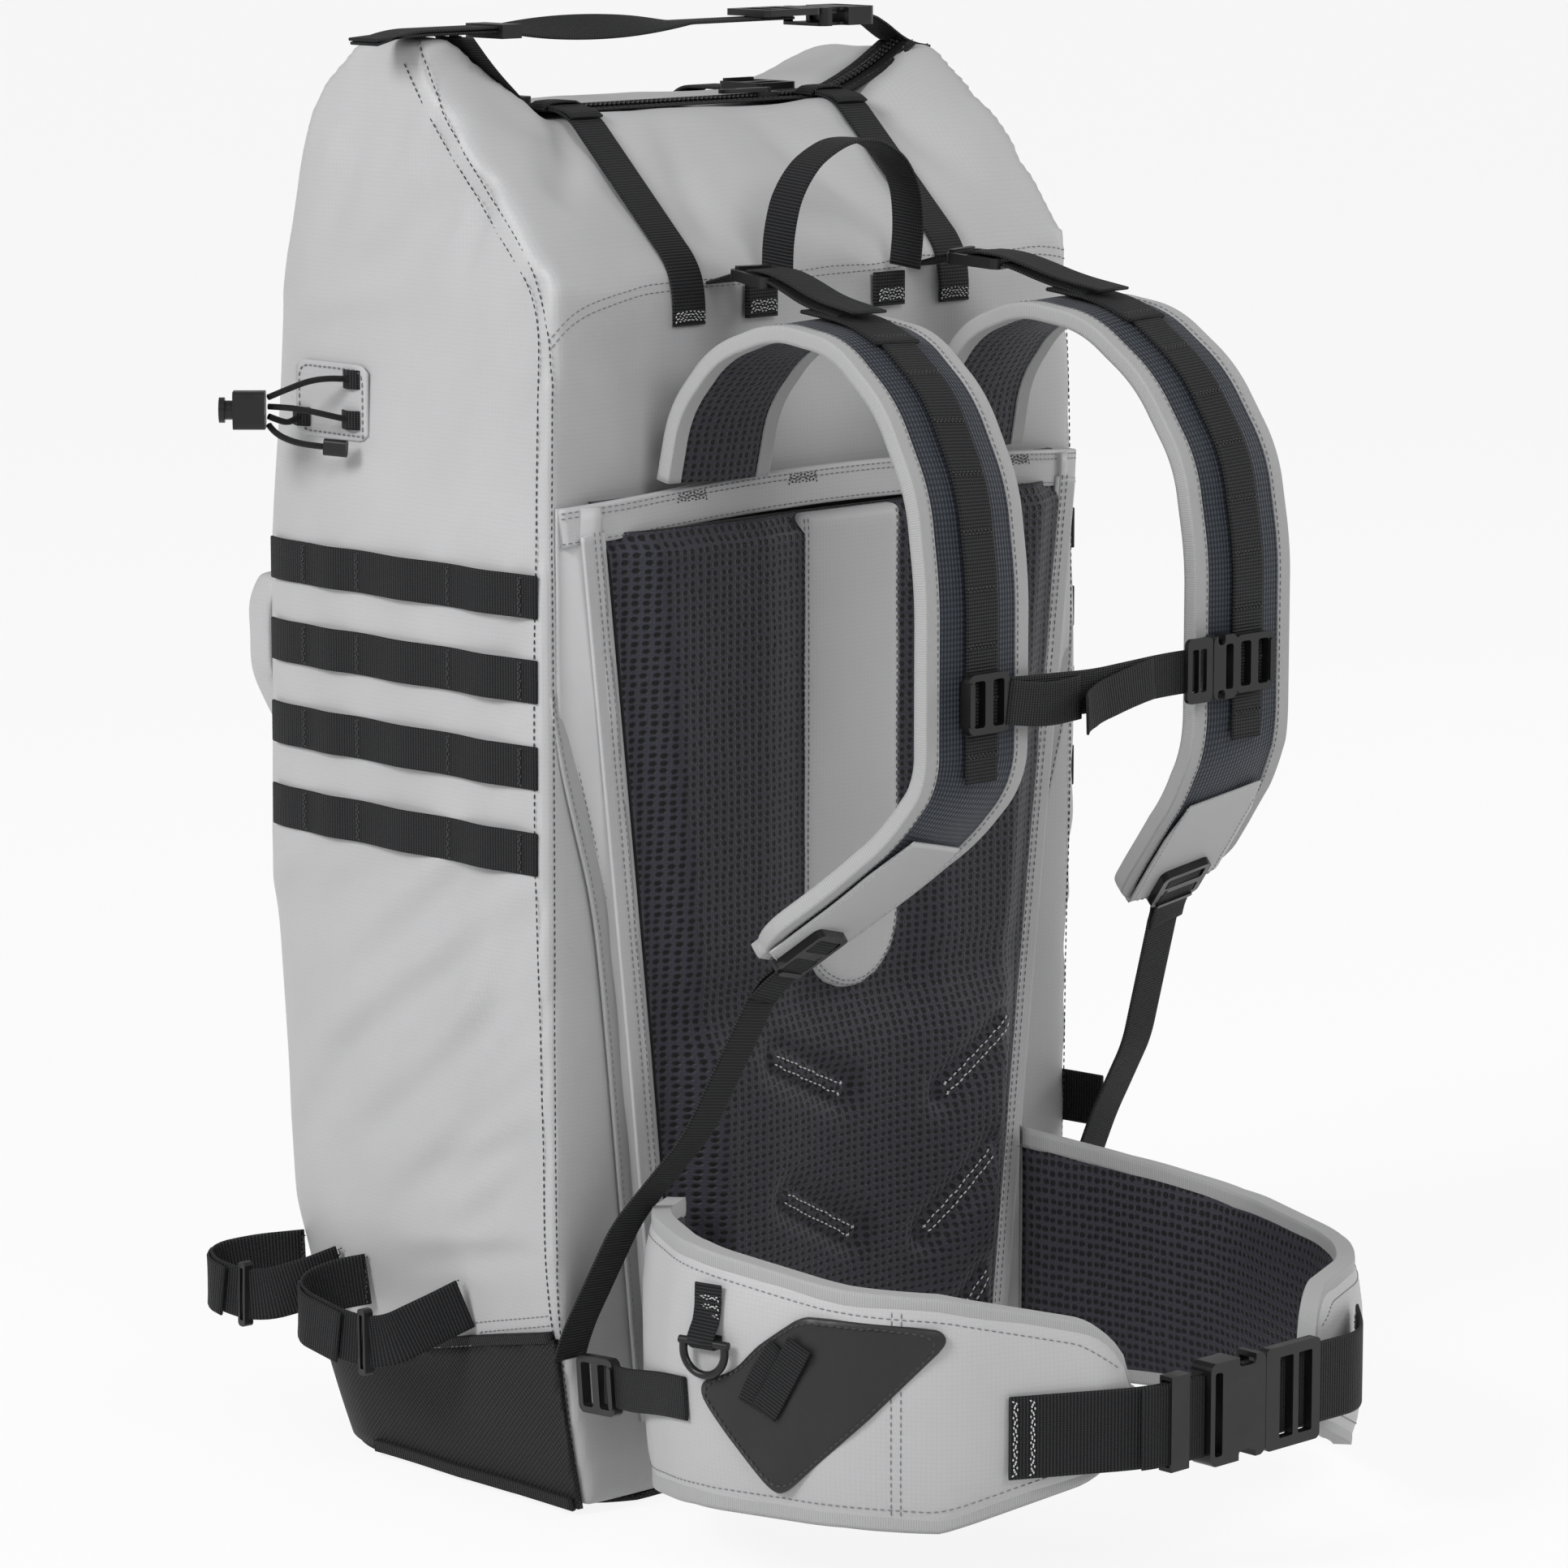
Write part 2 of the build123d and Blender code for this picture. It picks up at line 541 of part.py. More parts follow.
# Gear ring: a D of round bar whose straight side turns in a webbing tab.
RING_BAR = 1.9
RING_U = 13.0
RING_Z = 116.0
RING_LIFT = 4.4
RING_HALF = 11.0
ring_axis = Plane(origin=POCKET_PLANE.from_local_coords(Vector(RING_U, RING_Z, RING_LIFT)),
                  x_dir=pocket_out, z_dir=pocket_run)
with BuildPart() as gear_ring_tab:
    with BuildSketch(ring_axis):
        Circle(RING_BAR + GAP + 1.6)
    extrude(amount=7, both=True)
    with BuildSketch(POCKET_PLANE):
        with Locations((RING_U, RING_Z + 14)):
            Rectangle(14, 26)
    extrude(amount=2.4)
    with BuildSketch(ring_axis):
        Circle(RING_BAR + GAP)
    extrude(amount=8, both=True, mode=Mode.SUBTRACT)
save(gear_ring_tab, "gear_ring_tab")

ring_face = Plane(origin=ring_axis.origin, x_dir=pocket_run, z_dir=pocket_out)
with BuildPart() as gear_ring:
    with BuildLine(ring_face):
        Line((-RING_HALF, 0), (-RING_HALF, -4))
        ThreePointArc((-RING_HALF, -4), (0, -4 - RING_HALF), (RING_HALF, -4))
        Line((RING_HALF, -4), (RING_HALF, 0))
    with BuildSketch(Plane(origin=ring_face.from_local_coords(Vector(-RING_HALF, 0, 0)),
                           z_dir=ring_face.y_dir)):
        Circle(RING_BAR)
    sweep()
    with BuildSketch(ring_axis.offset(-RING_HALF - RING_BAR)):
        Circle(RING_BAR)
    extrude(amount=2 * (RING_HALF + RING_BAR))
save(gear_ring, "gear_ring")

# Hip webbing and buckle -----------------------------------------------------
HIP_MEET = 10.0
HIP_HALF_LENGTH = 37.0
HIP_THICK = 12.0
hip_plane = {"x_dir": (1, 0, 0), "z_dir": (0, -1, 0)}
hip_root = (117.5, -328.9, HIP_Z)          # sewn end, on the wing's outer face
with BuildPart() as hip_strap_left:
    add(ribbon([(-hip_root[0], hip_root[1], HIP_Z), (-66, -356.4, HIP_Z), (-56, -360.5, HIP_Z),
                (HIP_MEET - HIP_HALF_LENGTH - 2 * GAP, HIP_Y, HIP_Z)], (0, 0, 1),
               HIP_WEB, HIP_WEB_THICK))
save(hip_strap_left, "hip_strap_left")

with BuildPart() as hip_strap_right:
    add(ribbon([(HIP_MEET + 12, HIP_Y, HIP_Z), (82, HIP_Y, HIP_Z), (97, -350, HIP_Z), hip_root],
               (0, 0, 1), HIP_WEB, HIP_WEB_THICK))
save(hip_strap_right, "hip_strap_right")

with BuildPart() as hip_strap_keeper:
    with Locations((-44, HIP_Y + 0.5, HIP_Z)):
        Box(12, 7.5, HIP_WEB + 6)
        Box(13, 5.1, HIP_WEB + 2, mode=Mode.SUBTRACT)
save(hip_strap_keeper, "hip_strap_keeper")

with BuildPart() as hip_buckle_female:
    add(buckle_female(Plane(origin=(HIP_MEET - HIP_HALF_LENGTH / 2, HIP_Y, HIP_Z), **hip_plane),
                      HIP_HALF_LENGTH, HIP_WEB, HIP_THICK))
save(hip_buckle_female, "hip_buckle_female")

with BuildPart() as hip_buckle_male:
    add(buckle_male(Plane(origin=(HIP_MEET + GAP + HIP_HALF_LENGTH / 2, HIP_Y, HIP_Z), **hip_plane),
                    HIP_HALF_LENGTH, HIP_WEB, HIP_THICK, 16))
save(hip_buckle_male, "hip_buckle_male")

# Stabilizers: from the bag's foot corner through a lock to the wing's outer face.
STABILIZER_LOCK = (166.0, -113.0, 71.0)
with BuildPart() as stabilizer_buckles:
    for side in (-1, 1):
        add(ladder_lock(Plane(origin=(side * STABILIZER_LOCK[0], *STABILIZER_LOCK[1:]),
                              x_dir=(side * 0.1, -1, 0.1), z_dir=(side, 0.1, 0)),
                        WEB, 28, LOCK_THICK))
save(stabilizer_buckles, "stabilizer_buckles")

with BuildPart() as stabilizer_straps:
    for side in (-1, 1):
        add(ribbon(mirrored([(168.4, -131.2, 73.2), (171.5, -140, 75), (182.3, -170.6, 82),
                             (188.3, -184.0, 85)], side), (0, 0, 1), WEB, WEB_THICK))
        add(ribbon(mirrored([(161.6, -93.6, 67.3), (163.6, -96.6, 68.9)], side), (0, 0, 1), WEB, WEB_THICK))
save(stabilizer_straps, "stabilizer_straps")

# Daisy chains: rows of webbing loops across both sides ----------------------
DAISY_ROWS = (318.5, 358.5, 398.5, 437.5)
DAISY_TACKS = (-76.0, -26.0, 39.0, 78.0)
DAISY_LIFT = 2.6                # how far a loop stands off between its tacks
DAISY_SEAT = 0.4 + WEB_THICK / 2
for name, side in (("daisy_chains_left", -1), ("daisy_chains_right", 1)):
    with BuildPart() as daisy_chains:
        for z in DAISY_ROWS:
            row = []
            for low, high in zip(DAISY_TACKS, DAISY_TACKS[1:]):
                middle = (low + high) / 2
                row += [(side_x(low, z, DAISY_SEAT), low, z), (side_x(low, z, DAISY_SEAT), low + 5, z),
                        (side_x(middle, z, DAISY_SEAT + DAISY_LIFT), middle, z),
                        (side_x(high, z, DAISY_SEAT), high - 5, z)]
            row += [(side_x(78, z, DAISY_SEAT), 78, z), (side_x(95, z, DAISY_SEAT + 1), 95, z),
                    (side_x(107, z, DAISY_SEAT + 1), 107, z)]
            add(ribbon(mirrored(row, side), (0, 0, 1), WEB, WEB_THICK))
    save(daisy_chains, name)

# Ski and board straps at the left foot --------------------------------------
SKI_WEB = 25.0
SKI_THICK = 2.0
RING_GAP = 4.9                  # half of the break in a strap where its ring sits
RING_LENGTH = 5.8
SKI_LOOPS = (
    {"front": [(side_x(108, 92, 2.8), 108, 92), (179, 120, 91), (196, 130, 88), (206, 124, 85),
               (206.5, 110, 83)], "ring": (204, 99, 82),
     "back": [(201, 88, 82.5), (190, 74, 88), (side_x(66, 94, 2.8), 66, 94)]},
    {"front": [(side_x(47, 93, 2.8), 47, 93), (184, 55, 91), (201, 58, 87), (209, 50, 82),
               (209.5, 20, 77.5)], "ring": (207, 6, 76.5),
     "back": [(203, -6, 78), (189, -16, 86), (side_x(-24, 94, 2.8), -24, 94)]},
)


def towards(start, end, step):
    """Point a short step from start towards end."""
    start, end = Vector(*start), Vector(*end)
    return tuple(start + (end - start).normalized() * step)


with BuildPart() as ski_straps:
    for loop in SKI_LOOPS:
        for run in (loop["front"][::-1], loop["back"]):
            start = towards(loop["ring"], run[0], RING_GAP)
            add(ribbon(mirrored([start] + run, -1), (0, 0, 1), SKI_WEB, SKI_THICK))
save(ski_straps, "ski_straps")

with BuildPart() as ski_strap_rings:
    for loop in SKI_LOOPS:
        flow = Vector(*loop["back"][0]) - Vector(*loop["front"][-1])
        flow = Vector(-flow.X, flow.Y, flow.Z).normalized()
        ring_plane = Plane(origin=mirrored([loop["ring"]], -1)[0], x_dir=flow, z_dir=(-1, 0.1, 0))
        add(strap_ring(ring_plane, SKI_WEB, RING_LENGTH, 5))
save(ski_strap_rings, "ski_strap_rings")

# Bungee on the left side ----------------------------------------------------
PATCH_LOW = 498.0
PATCH_TOP = 534.0
PATCH_Y = 61.0
PATCH_THICK = 1.0
with BuildPart() as bungee_patch:
    add(ribbon([(-side_x(PATCH_Y, PATCH_LOW, GAP + PATCH_THICK / 2 + 0.2), PATCH_Y, PATCH_LOW),
                (-side_x(PATCH_Y, PATCH_TOP, GAP + PATCH_THICK / 2 + 0.2), PATCH_Y, PATCH_TOP)],
               (0, 1, 0), 52, PATCH_THICK))
save(bungee_patch, "bungee_patch")

LOCK_AXIS = Vector(-0.72, 0.69, 0).normalized()
LOCK_MOUTH = (-201.0, 78.0, 512.0)
BARREL_LENGTH = 15.0
BUTTON_BORE = 4.6
BUTTON_STEP = 4.0               # the button's travel
mouth_plane = Plane(origin=LOCK_MOUTH, x_dir=(0, 0, 1), z_dir=LOCK_AXIS)
with BuildPart() as cord_lock_body:
    with BuildSketch(mouth_plane):
        RectangleRounded(18, 12, 3)
    extrude(amount=BARREL_LENGTH)
    with BuildSketch(mouth_plane.offset(BARREL_LENGTH)):
        Circle(BUTTON_BORE)
    extrude(amount=-9, mode=Mode.SUBTRACT)
save(cord_lock_body, "cord_lock_body")

with BuildPart() as cord_lock_button:
    with BuildSketch(mouth_plane.offset(BARREL_LENGTH - 9 + BUTTON_STEP + 0.8)):
        Circle(BUTTON_BORE - 0.08)
    extrude(amount=4.2 + BUTTON_STEP)
    with BuildSketch(mouth_plane.offset(BARREL_LENGTH + BUTTON_STEP)):
        Circle(6)
    extrude(amount=2.6)
save(cord_lock_button, "cord_lock_button")

PATCH_X = side_x(PATCH_Y, 515, GAP + PATCH_THICK + 0.2)
seat = PATCH_X + GAP + 1.1
CORD_ROUTES = (
    ((-seat, 46, 527), (-182, 48, 528), (-190, 57, 527), (-196, 67, 522.5), (-199.6, 77.3, 518)),
    ((-seat, 82, 507), (-180, 81.5, 506), (-187, 78, 505), (-194, 76, 506.5), (-199.6, 77.3, 509)),
    ((-seat, 46, 508), (-182, 49, 509.5), (-189, 58, 512), (-195, 68, 513.6), (-199.6, 77.3, 513.6)),
    ((-188.2, 51, 496), (-192, 57, 496.5), (-196.5, 65, 498), (-199.5, 73.5, 501.5), (-199.6, 77.3, 505)),
)


def cord(points):
    """Round cord of straight runs joined by the largest arcs that they allow."""
    path = [Vector(*point) for point in points]
    radii = []
    for before, here, after in zip(path, path[1:], path[2:]):
        turn = (here - before).get_angle(after - here)
        run = min((here - before).length, (after - here).length)
        radii.append(0.45 * run / tan(radians(turn / 2)))
    print("cord radii", [round(radius, 1) for radius in radii])
    with BuildPart() as strand:
        with BuildLine() as route:
            FilletPolyline(*path, radius=radii)
        with BuildSketch(Plane(origin=path[0], z_dir=path[1] - path[0])):
            Circle(CORD_DIAMETER / 2)
        sweep()
    length = route.wire().length
    share = strand.part.volume / (pi * CORD_DIAMETER**2 / 4 * length)
    print("cord length", round(length, 1), "volume share", round(share, 4))
    return strand.part


with BuildPart() as bungee_cord:
    for route in CORD_ROUTES:
        add(cord(route))
save(bungee_cord, "bungee_cord")

cap_start = Vector(*CORD_ROUTES[3][0])
cap_run = (cap_start - Vector(*CORD_ROUTES[3][1])).normalized()
with BuildPart() as bungee_end_cap:
    with BuildSketch(Plane(origin=cap_start + cap_run * GAP, x_dir=(0, 0, 1), z_dir=cap_run)):
        RectangleRounded(8, 4.4, 2)
    extrude(amount=11)
save(bungee_end_cap, "bungee_end_cap")
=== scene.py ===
"""Ski backpack: fabric, padding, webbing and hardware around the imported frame."""
import math

import bmesh
import bpy
import numpy as np
from mathutils import Matrix, Vector, noise


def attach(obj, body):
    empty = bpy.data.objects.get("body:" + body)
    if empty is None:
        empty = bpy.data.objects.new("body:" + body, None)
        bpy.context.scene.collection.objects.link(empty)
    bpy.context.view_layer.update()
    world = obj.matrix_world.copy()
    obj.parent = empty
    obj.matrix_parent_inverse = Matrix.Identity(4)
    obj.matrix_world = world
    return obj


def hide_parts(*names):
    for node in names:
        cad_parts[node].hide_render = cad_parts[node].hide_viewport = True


bl_info = {
    "name": "Ski backpack",
    "version": (1, 0, 0),
    "blender": (4, 5, 0),
    "location": "View3D > Sidebar > Pack",
    "description": "Builds a ski backpack's fabric, padding, webbing and hardware",
    "category": "Object",
}

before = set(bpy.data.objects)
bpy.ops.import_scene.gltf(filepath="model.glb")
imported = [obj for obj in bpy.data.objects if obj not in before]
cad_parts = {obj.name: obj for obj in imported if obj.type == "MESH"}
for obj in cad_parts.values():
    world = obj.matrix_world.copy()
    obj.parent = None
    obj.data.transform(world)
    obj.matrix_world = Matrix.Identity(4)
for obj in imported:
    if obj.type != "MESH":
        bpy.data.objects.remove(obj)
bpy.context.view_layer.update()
MM = 0.001


def mm(*values):
    """A point given in millimetres, as a Vector in metres."""
    return Vector(values) * MM


def smooth(edge0, edge1, value):
    """Goes gently from 0 at edge0 to 1 at edge1."""
    share = min(max((value - edge0) / (edge1 - edge0), 0.0), 1.0)
    return share * share * (3 - 2 * share)


def mix(a, b, share):
    return a + (b - a) * share


# ---------------------------------------------------------------- settings
class BagSettings(bpy.types.PropertyGroup):
    fabric: bpy.props.FloatVectorProperty(name="Bag fabric", description="Colour of the coated ripstop",
                                          default=(0.445, 0.445, 0.452), subtype="COLOR", size=3, min=0, max=1)
    grid: bpy.props.FloatProperty(name="Ripstop grid", description="Distance between the fabric's thick threads",
                                  default=0.0021, min=0.0005, unit="LENGTH")
    stitch: bpy.props.FloatProperty(name="Stitch pitch", description="Distance from one stitch to the next",
                                    default=0.0034, min=0.001, unit="LENGTH")


class WebbingSettings(bpy.types.PropertyGroup):
    rib: bpy.props.FloatProperty(name="Rib pitch", description="Distance between the ribs of the weave",
                                 default=0.0016, min=0.0003, unit="LENGTH")
    colour: bpy.props.FloatVectorProperty(name="Webbing colour", description="Colour of straps and tapes",
                                          default=(0.0105, 0.0107, 0.0115), subtype="COLOR", size=3, min=0, max=1)


class StageSettings(bpy.types.PropertyGroup):
    azimuth: bpy.props.FloatProperty(name="Camera azimuth", description="Turn of the camera about the pack",
                                     default=math.radians(-44.0), subtype="ANGLE")
    pitch: bpy.props.FloatProperty(name="Camera pitch", description="How steeply the camera looks down",
                                   default=math.radians(9.83), subtype="ANGLE")
    distance: bpy.props.FloatProperty(name="Camera distance", description="Distance from camera to the pack",
                                      default=2.932, min=0.5, unit="LENGTH")
    lens: bpy.props.FloatProperty(name="Lens", description="Focal length in millimetres", default=142.03, min=20)


# ---------------------------------------------------------------- materials
def new_material(name, colour, roughness, sheen=0.0, specular=0.5):
    """A material with its shader, ready for its pattern nodes."""
    material = bpy.data.materials.new(name)
    material.use_nodes = True
    material.diffuse_color = (*colour, 1)
    tree = material.node_tree
    shader = tree.nodes["Principled BSDF"]
    shader.inputs["Base Color"].default_value = (*colour, 1)
    shader.inputs["Roughness"].default_value = roughness
    shader.inputs["Specular IOR Level"].default_value = specular
    shader.inputs["Sheen Weight"].default_value = sheen
    shader.inputs["Sheen Roughness"].default_value = 0.4
    return material, tree, shader


def node(tree, kind, inputs=None, **settings):
    """One node, with its settings and its inputs' values or links."""
    made = tree.nodes.new(kind)
    for key, value in settings.items():
        setattr(made, key, value)
    for key, value in (inputs or {}).items():
        if isinstance(value, bpy.types.NodeSocket):
            tree.links.new(value, made.inputs[key])
        else:
            made.inputs[key].default_value = value
    return made


def math_node(tree, operation, *values):
    """One Math node's result."""
    return node(tree, "ShaderNodeMath", dict(enumerate(values)), operation=operation).outputs[0]


def coordinates(tree, source="UV"):
    return node(tree, "ShaderNodeTexCoord").outputs[source]


def split(tree, vector):
    parts = node(tree, "ShaderNodeSeparateXYZ", {0: vector}).outputs
    return parts[0], parts[1], parts[2]


def ramp(tree, factor, low, high, from_min=0.0, from_max=1.0):
    """Maps a value to a range, kept within it."""
    return node(tree, "ShaderNodeMapRange", {"Value": factor, "From Min": from_min, "From Max": from_max,
                                             "To Min": low, "To Max": high}).outputs[0]


def colour_mix(tree, factor, first, second):
    made = node(tree, "ShaderNodeMix", data_type="RGBA")
    tree.links.new(factor, made.inputs["Factor"])
    for name, value in (("A", first), ("B", second)):
        socket = [s for s in made.inputs if s.name == name and s.type == "RGBA"][0]
        if isinstance(value, bpy.types.NodeSocket):
            tree.links.new(value, socket)
        else:
            socket.default_value = (*value[:3], 1)
    return [s for s in made.outputs if s.type == "RGBA"][0]


def bump(tree, shader, height, distance, strength=1.0, under=None):
    """Adds a height to the shader's normal, over an earlier one."""
    inputs = {"Height": height, "Distance": distance, "Strength": strength}
    if under is not None:
        inputs["Normal"] = under
    made = node(tree, "ShaderNodeBump", inputs)
    tree.links.new(made.outputs[0], shader.inputs["Normal"])
    return made.outputs[0]


def sine_lines(tree, value, pitch):
    """A wave of 0 to 1 along a value, one crest each pitch."""
    turned = math_node(tree, "MULTIPLY", value, 2 * math.pi / pitch)
    wave = math_node(tree, "SINE", turned)
    return math_node(tree, "MULTIPLY_ADD", wave, 0.5, 0.5)


def ripstop(name, colour, grid):
    """Coated ripstop: plain weave with a grid of thicker threads and a satin coat."""
    material, tree, shader = new_material(name, colour, 0.48, specular=0.45)
    u, v, _ = split(tree, coordinates(tree))
    lines_u = math_node(tree, "POWER", sine_lines(tree, u, grid), 10.0)
    lines_v = math_node(tree, "POWER", sine_lines(tree, v, grid), 10.0)
    grid_height = math_node(tree, "MAXIMUM", lines_u, lines_v)
    weave = math_node(tree, "MULTIPLY", sine_lines(tree, u, grid / 5), sine_lines(tree, v, grid / 5))
    height = math_node(tree, "MULTIPLY_ADD", weave, 0.35, grid_height)
    cloudy = node(tree, "ShaderNodeTexNoise", {"Vector": coordinates(tree, "Object"), "Scale": 9.0,
                                               "Detail": 4.0}).outputs[0]
    tone = ramp(tree, cloudy, 0.0, 1.0, 0.3, 0.7)
    shade = colour_mix(tree, tone, [c * 0.95 for c in colour], [min(c * 1.03, 1) for c in colour])
    threads = math_node(tree, "MULTIPLY", grid_height, 0.14)
    shade = colour_mix(tree, threads, shade, [c * 0.72 for c in colour])
    tree.links.new(shade, shader.inputs["Base Color"])
    tree.links.new(ramp(tree, cloudy, 0.43, 0.55, 0.3, 0.7), shader.inputs["Roughness"])
    bump(tree, shader, height, 0.00008, 0.4)
    return material


def basket_weave(name, colour, thread, depth=0.0004, roughness=0.62, painted_highlight_gain=1.9):
    """Coarse plain weave of flat threads; its colour is darker in the hollows and lighter on the thread tops, as
    painted shade and painted highlight.
    """
    material, tree, shader = new_material(name, colour, roughness, sheen=0.03, specular=0.25)
    u, v, _ = split(tree, coordinates(tree))
    over = sine_lines(tree, math_node(tree, "ADD", u, v), thread)
    under = sine_lines(tree, math_node(tree, "SUBTRACT", u, v), thread)
    height = math_node(tree, "MULTIPLY", over, under)
    # painted shade in the weave's hollows and painted highlight on its raised threads, the highlight set by the gain
    shade = colour_mix(tree, height, [c * 0.45 for c in colour], [min(c * painted_highlight_gain, 1) for c in colour])
    tree.links.new(shade, shader.inputs["Base Color"])
    bump(tree, shader, height, depth)
    return material


def spacer_mesh(name, colour, cell):
    """Thick black mesh: rows of small oval holes in a knitted face; the holes are painted near black as painted shade.
    """
    material, tree, shader = new_material(name, colour, 0.6, sheen=0.1, specular=0.28)
    stretched = node(tree, "ShaderNodeMapping", {"Vector": coordinates(tree), "Scale": (1.0, 1.25, 1.0)})
    holes = node(tree, "ShaderNodeTexVoronoi", {"Vector": stretched.outputs[0], "Scale": 1 / cell,
                                                "Randomness": 0.18}, feature="F1")
    rim = ramp(tree, holes.outputs["Distance"], 0.0, 1.0, 0.22, 0.42)
    u, v, _ = split(tree, coordinates(tree))
    knit = math_node(tree, "MULTIPLY", sine_lines(tree, u, cell / 3), sine_lines(tree, v, cell / 3))
    # holes painted near black as painted shade inside them; the knitted face between them keeps the mesh's own dark
    # colour
    shade = colour_mix(tree, rim, [c * 0.05 for c in colour], [min(c * 2.1, 1) for c in colour])
    tree.links.new(shade, shader.inputs["Base Color"])
    height = math_node(tree, "MULTIPLY_ADD", knit, 0.2, rim)
    bump(tree, shader, height, 0.0006)
    return material


def ribbed_webbing(name, colour, rib):
    """Woven strap: ribs across it and a finer thread along it."""
    material, tree, shader = new_material(name, colour, 0.6, sheen=0.02, specular=0.16)
    u, v, _ = split(tree, coordinates(tree))
    ribs = sine_lines(tree, v, rib)
    threads = sine_lines(tree, u, rib * 0.7)
    height = math_node(tree, "MULTIPLY_ADD", threads, 0.4, ribs)
    # painted highlight on the ribs' tops and painted shade in the grooves between them, following the bump height
    shade = colour_mix(tree, ramp(tree, height, 0.0, 1.0, 0.2, 1.3),
                       [c * 0.35 for c in colour], [min(c * 2.9, 1) for c in colour])
    tree.links.new(shade, shader.inputs["Base Color"])
    bump(tree, shader, height, 0.0004)
    return material


def twill_tape(name, colour):
    """Grey binding tape with a fine slanted weave, painted a little darker in its grooves and lighter on its ridges as
    painted shade and highlight.
    """
    material, tree, shader = new_material(name, colour, 0.7, sheen=0.2, specular=0.3)
    u, v, _ = split(tree, coordinates(tree))
    slant = math_node(tree, "ADD", u, v)
    lines = sine_lines(tree, slant, 0.0011)
    # painted shade in the twill's grooves and painted highlight on its ridges
    shade = colour_mix(tree, lines, [c * 0.86 for c in colour], [min(c * 1.06, 1) for c in colour])
    tree.links.new(shade, shader.inputs["Base Color"])
    bump(tree, shader, lines, 0.00006)
    return material


def knit_face(name, colour, cell):
    """Dense knit of small upright cells, painted lighter on the cells and darker between them as painted highlight and
    shade.
    """
    material, tree, shader = new_material(name, colour, 0.6, sheen=0.12, specular=0.25)
    u, v, _ = split(tree, coordinates(tree))
    wales = sine_lines(tree, u, cell)
    courses = sine_lines(tree, v, cell * 1.3)
    height = math_node(tree, "MULTIPLY", wales, math_node(tree, "MULTIPLY_ADD", courses, 0.7, 0.3))
    # painted highlight on the knit's cells and painted shade between them, following the bump height
    shade = colour_mix(tree, height, [c * 0.25 for c in colour], [min(c * 2.3, 1) for c in colour])
    tree.links.new(shade, shader.inputs["Base Color"])
    bump(tree, shader, height, 0.0004)
    return material


def moulded_plastic(name, colour, roughness=0.38):
    """Black acetal with a fine spark-eroded grain."""
    material, tree, shader = new_material(name, colour, roughness, specular=0.38)
    grain = node(tree, "ShaderNodeTexNoise", {"Vector": coordinates(tree, "Object"), "Scale": 2600.0,
                                              "Detail": 2.0}).outputs[0]
    wear = node(tree, "ShaderNodeTexNoise", {"Vector": coordinates(tree, "Object"), "Scale": 60.0,
                                             "Detail": 3.0}).outputs[0]
    tree.links.new(ramp(tree, wear, roughness - 0.07, roughness + 0.1, 0.3, 0.7), shader.inputs["Roughness"])
    bump(tree, shader, grain, 0.00005, 0.5)
    return material


def coated_fabric(name, colour):
    """Rubbery coated cloth with a soft sheen and faint creases."""
    material, tree, shader = new_material(name, colour, 0.42, specular=0.4)
    wrinkle = node(tree, "ShaderNodeTexNoise", {"Vector": coordinates(tree, "Object"), "Scale": 70.0,
                                                "Detail": 5.0, "Distortion": 0.6}).outputs[0]
    fine = node(tree, "ShaderNodeTexNoise", {"Vector": coordinates(tree, "Object"), "Scale": 900.0,
                                             "Detail": 2.0}).outputs[0]
    height = math_node(tree, "MULTIPLY_ADD", fine, 0.12, wrinkle)
    tree.links.new(ramp(tree, wrinkle, 0.36, 0.55, 0.3, 0.7), shader.inputs["Roughness"])
    bump(tree, shader, height, 0.0007, 0.6)
    return material


def thread(name, colour):
    """Sewing thread, with the slant of its twist drawn as lighter and darker bands of painted light and shade."""
    material, tree, shader = new_material(name, colour, 0.6, sheen=0.2)
    x, y, z = split(tree, coordinates(tree, "Object"))
    twist = sine_lines(tree, math_node(tree, "ADD", math_node(tree, "ADD", x, y), z), 0.0004)
    # the twist's lit and shaded sides painted as lighter and darker bands
    shade = colour_mix(tree, twist, [c * 0.8 for c in colour], [min(c * 1.15, 1) for c in colour])
    tree.links.new(shade, shader.inputs["Base Color"])
    return material


def brushed_bar(name, colour):
    """Drawn aluminium bar, with a fine noise in its roughness and bump."""
    material, tree, shader = new_material(name, colour, 0.32)
    shader.inputs["Metallic"].default_value = 1.0
    x, y, z = split(tree, coordinates(tree, "Object"))
    lines = node(tree, "ShaderNodeTexNoise", {"Vector": coordinates(tree, "Object"), "Scale": 400.0}).outputs[0]
    tree.links.new(ramp(tree, lines, 0.25, 0.4, 0.3, 0.7), shader.inputs["Roughness"])
    bump(tree, shader, lines, 0.00003, 0.4)
    return material


MATERIALS = {}


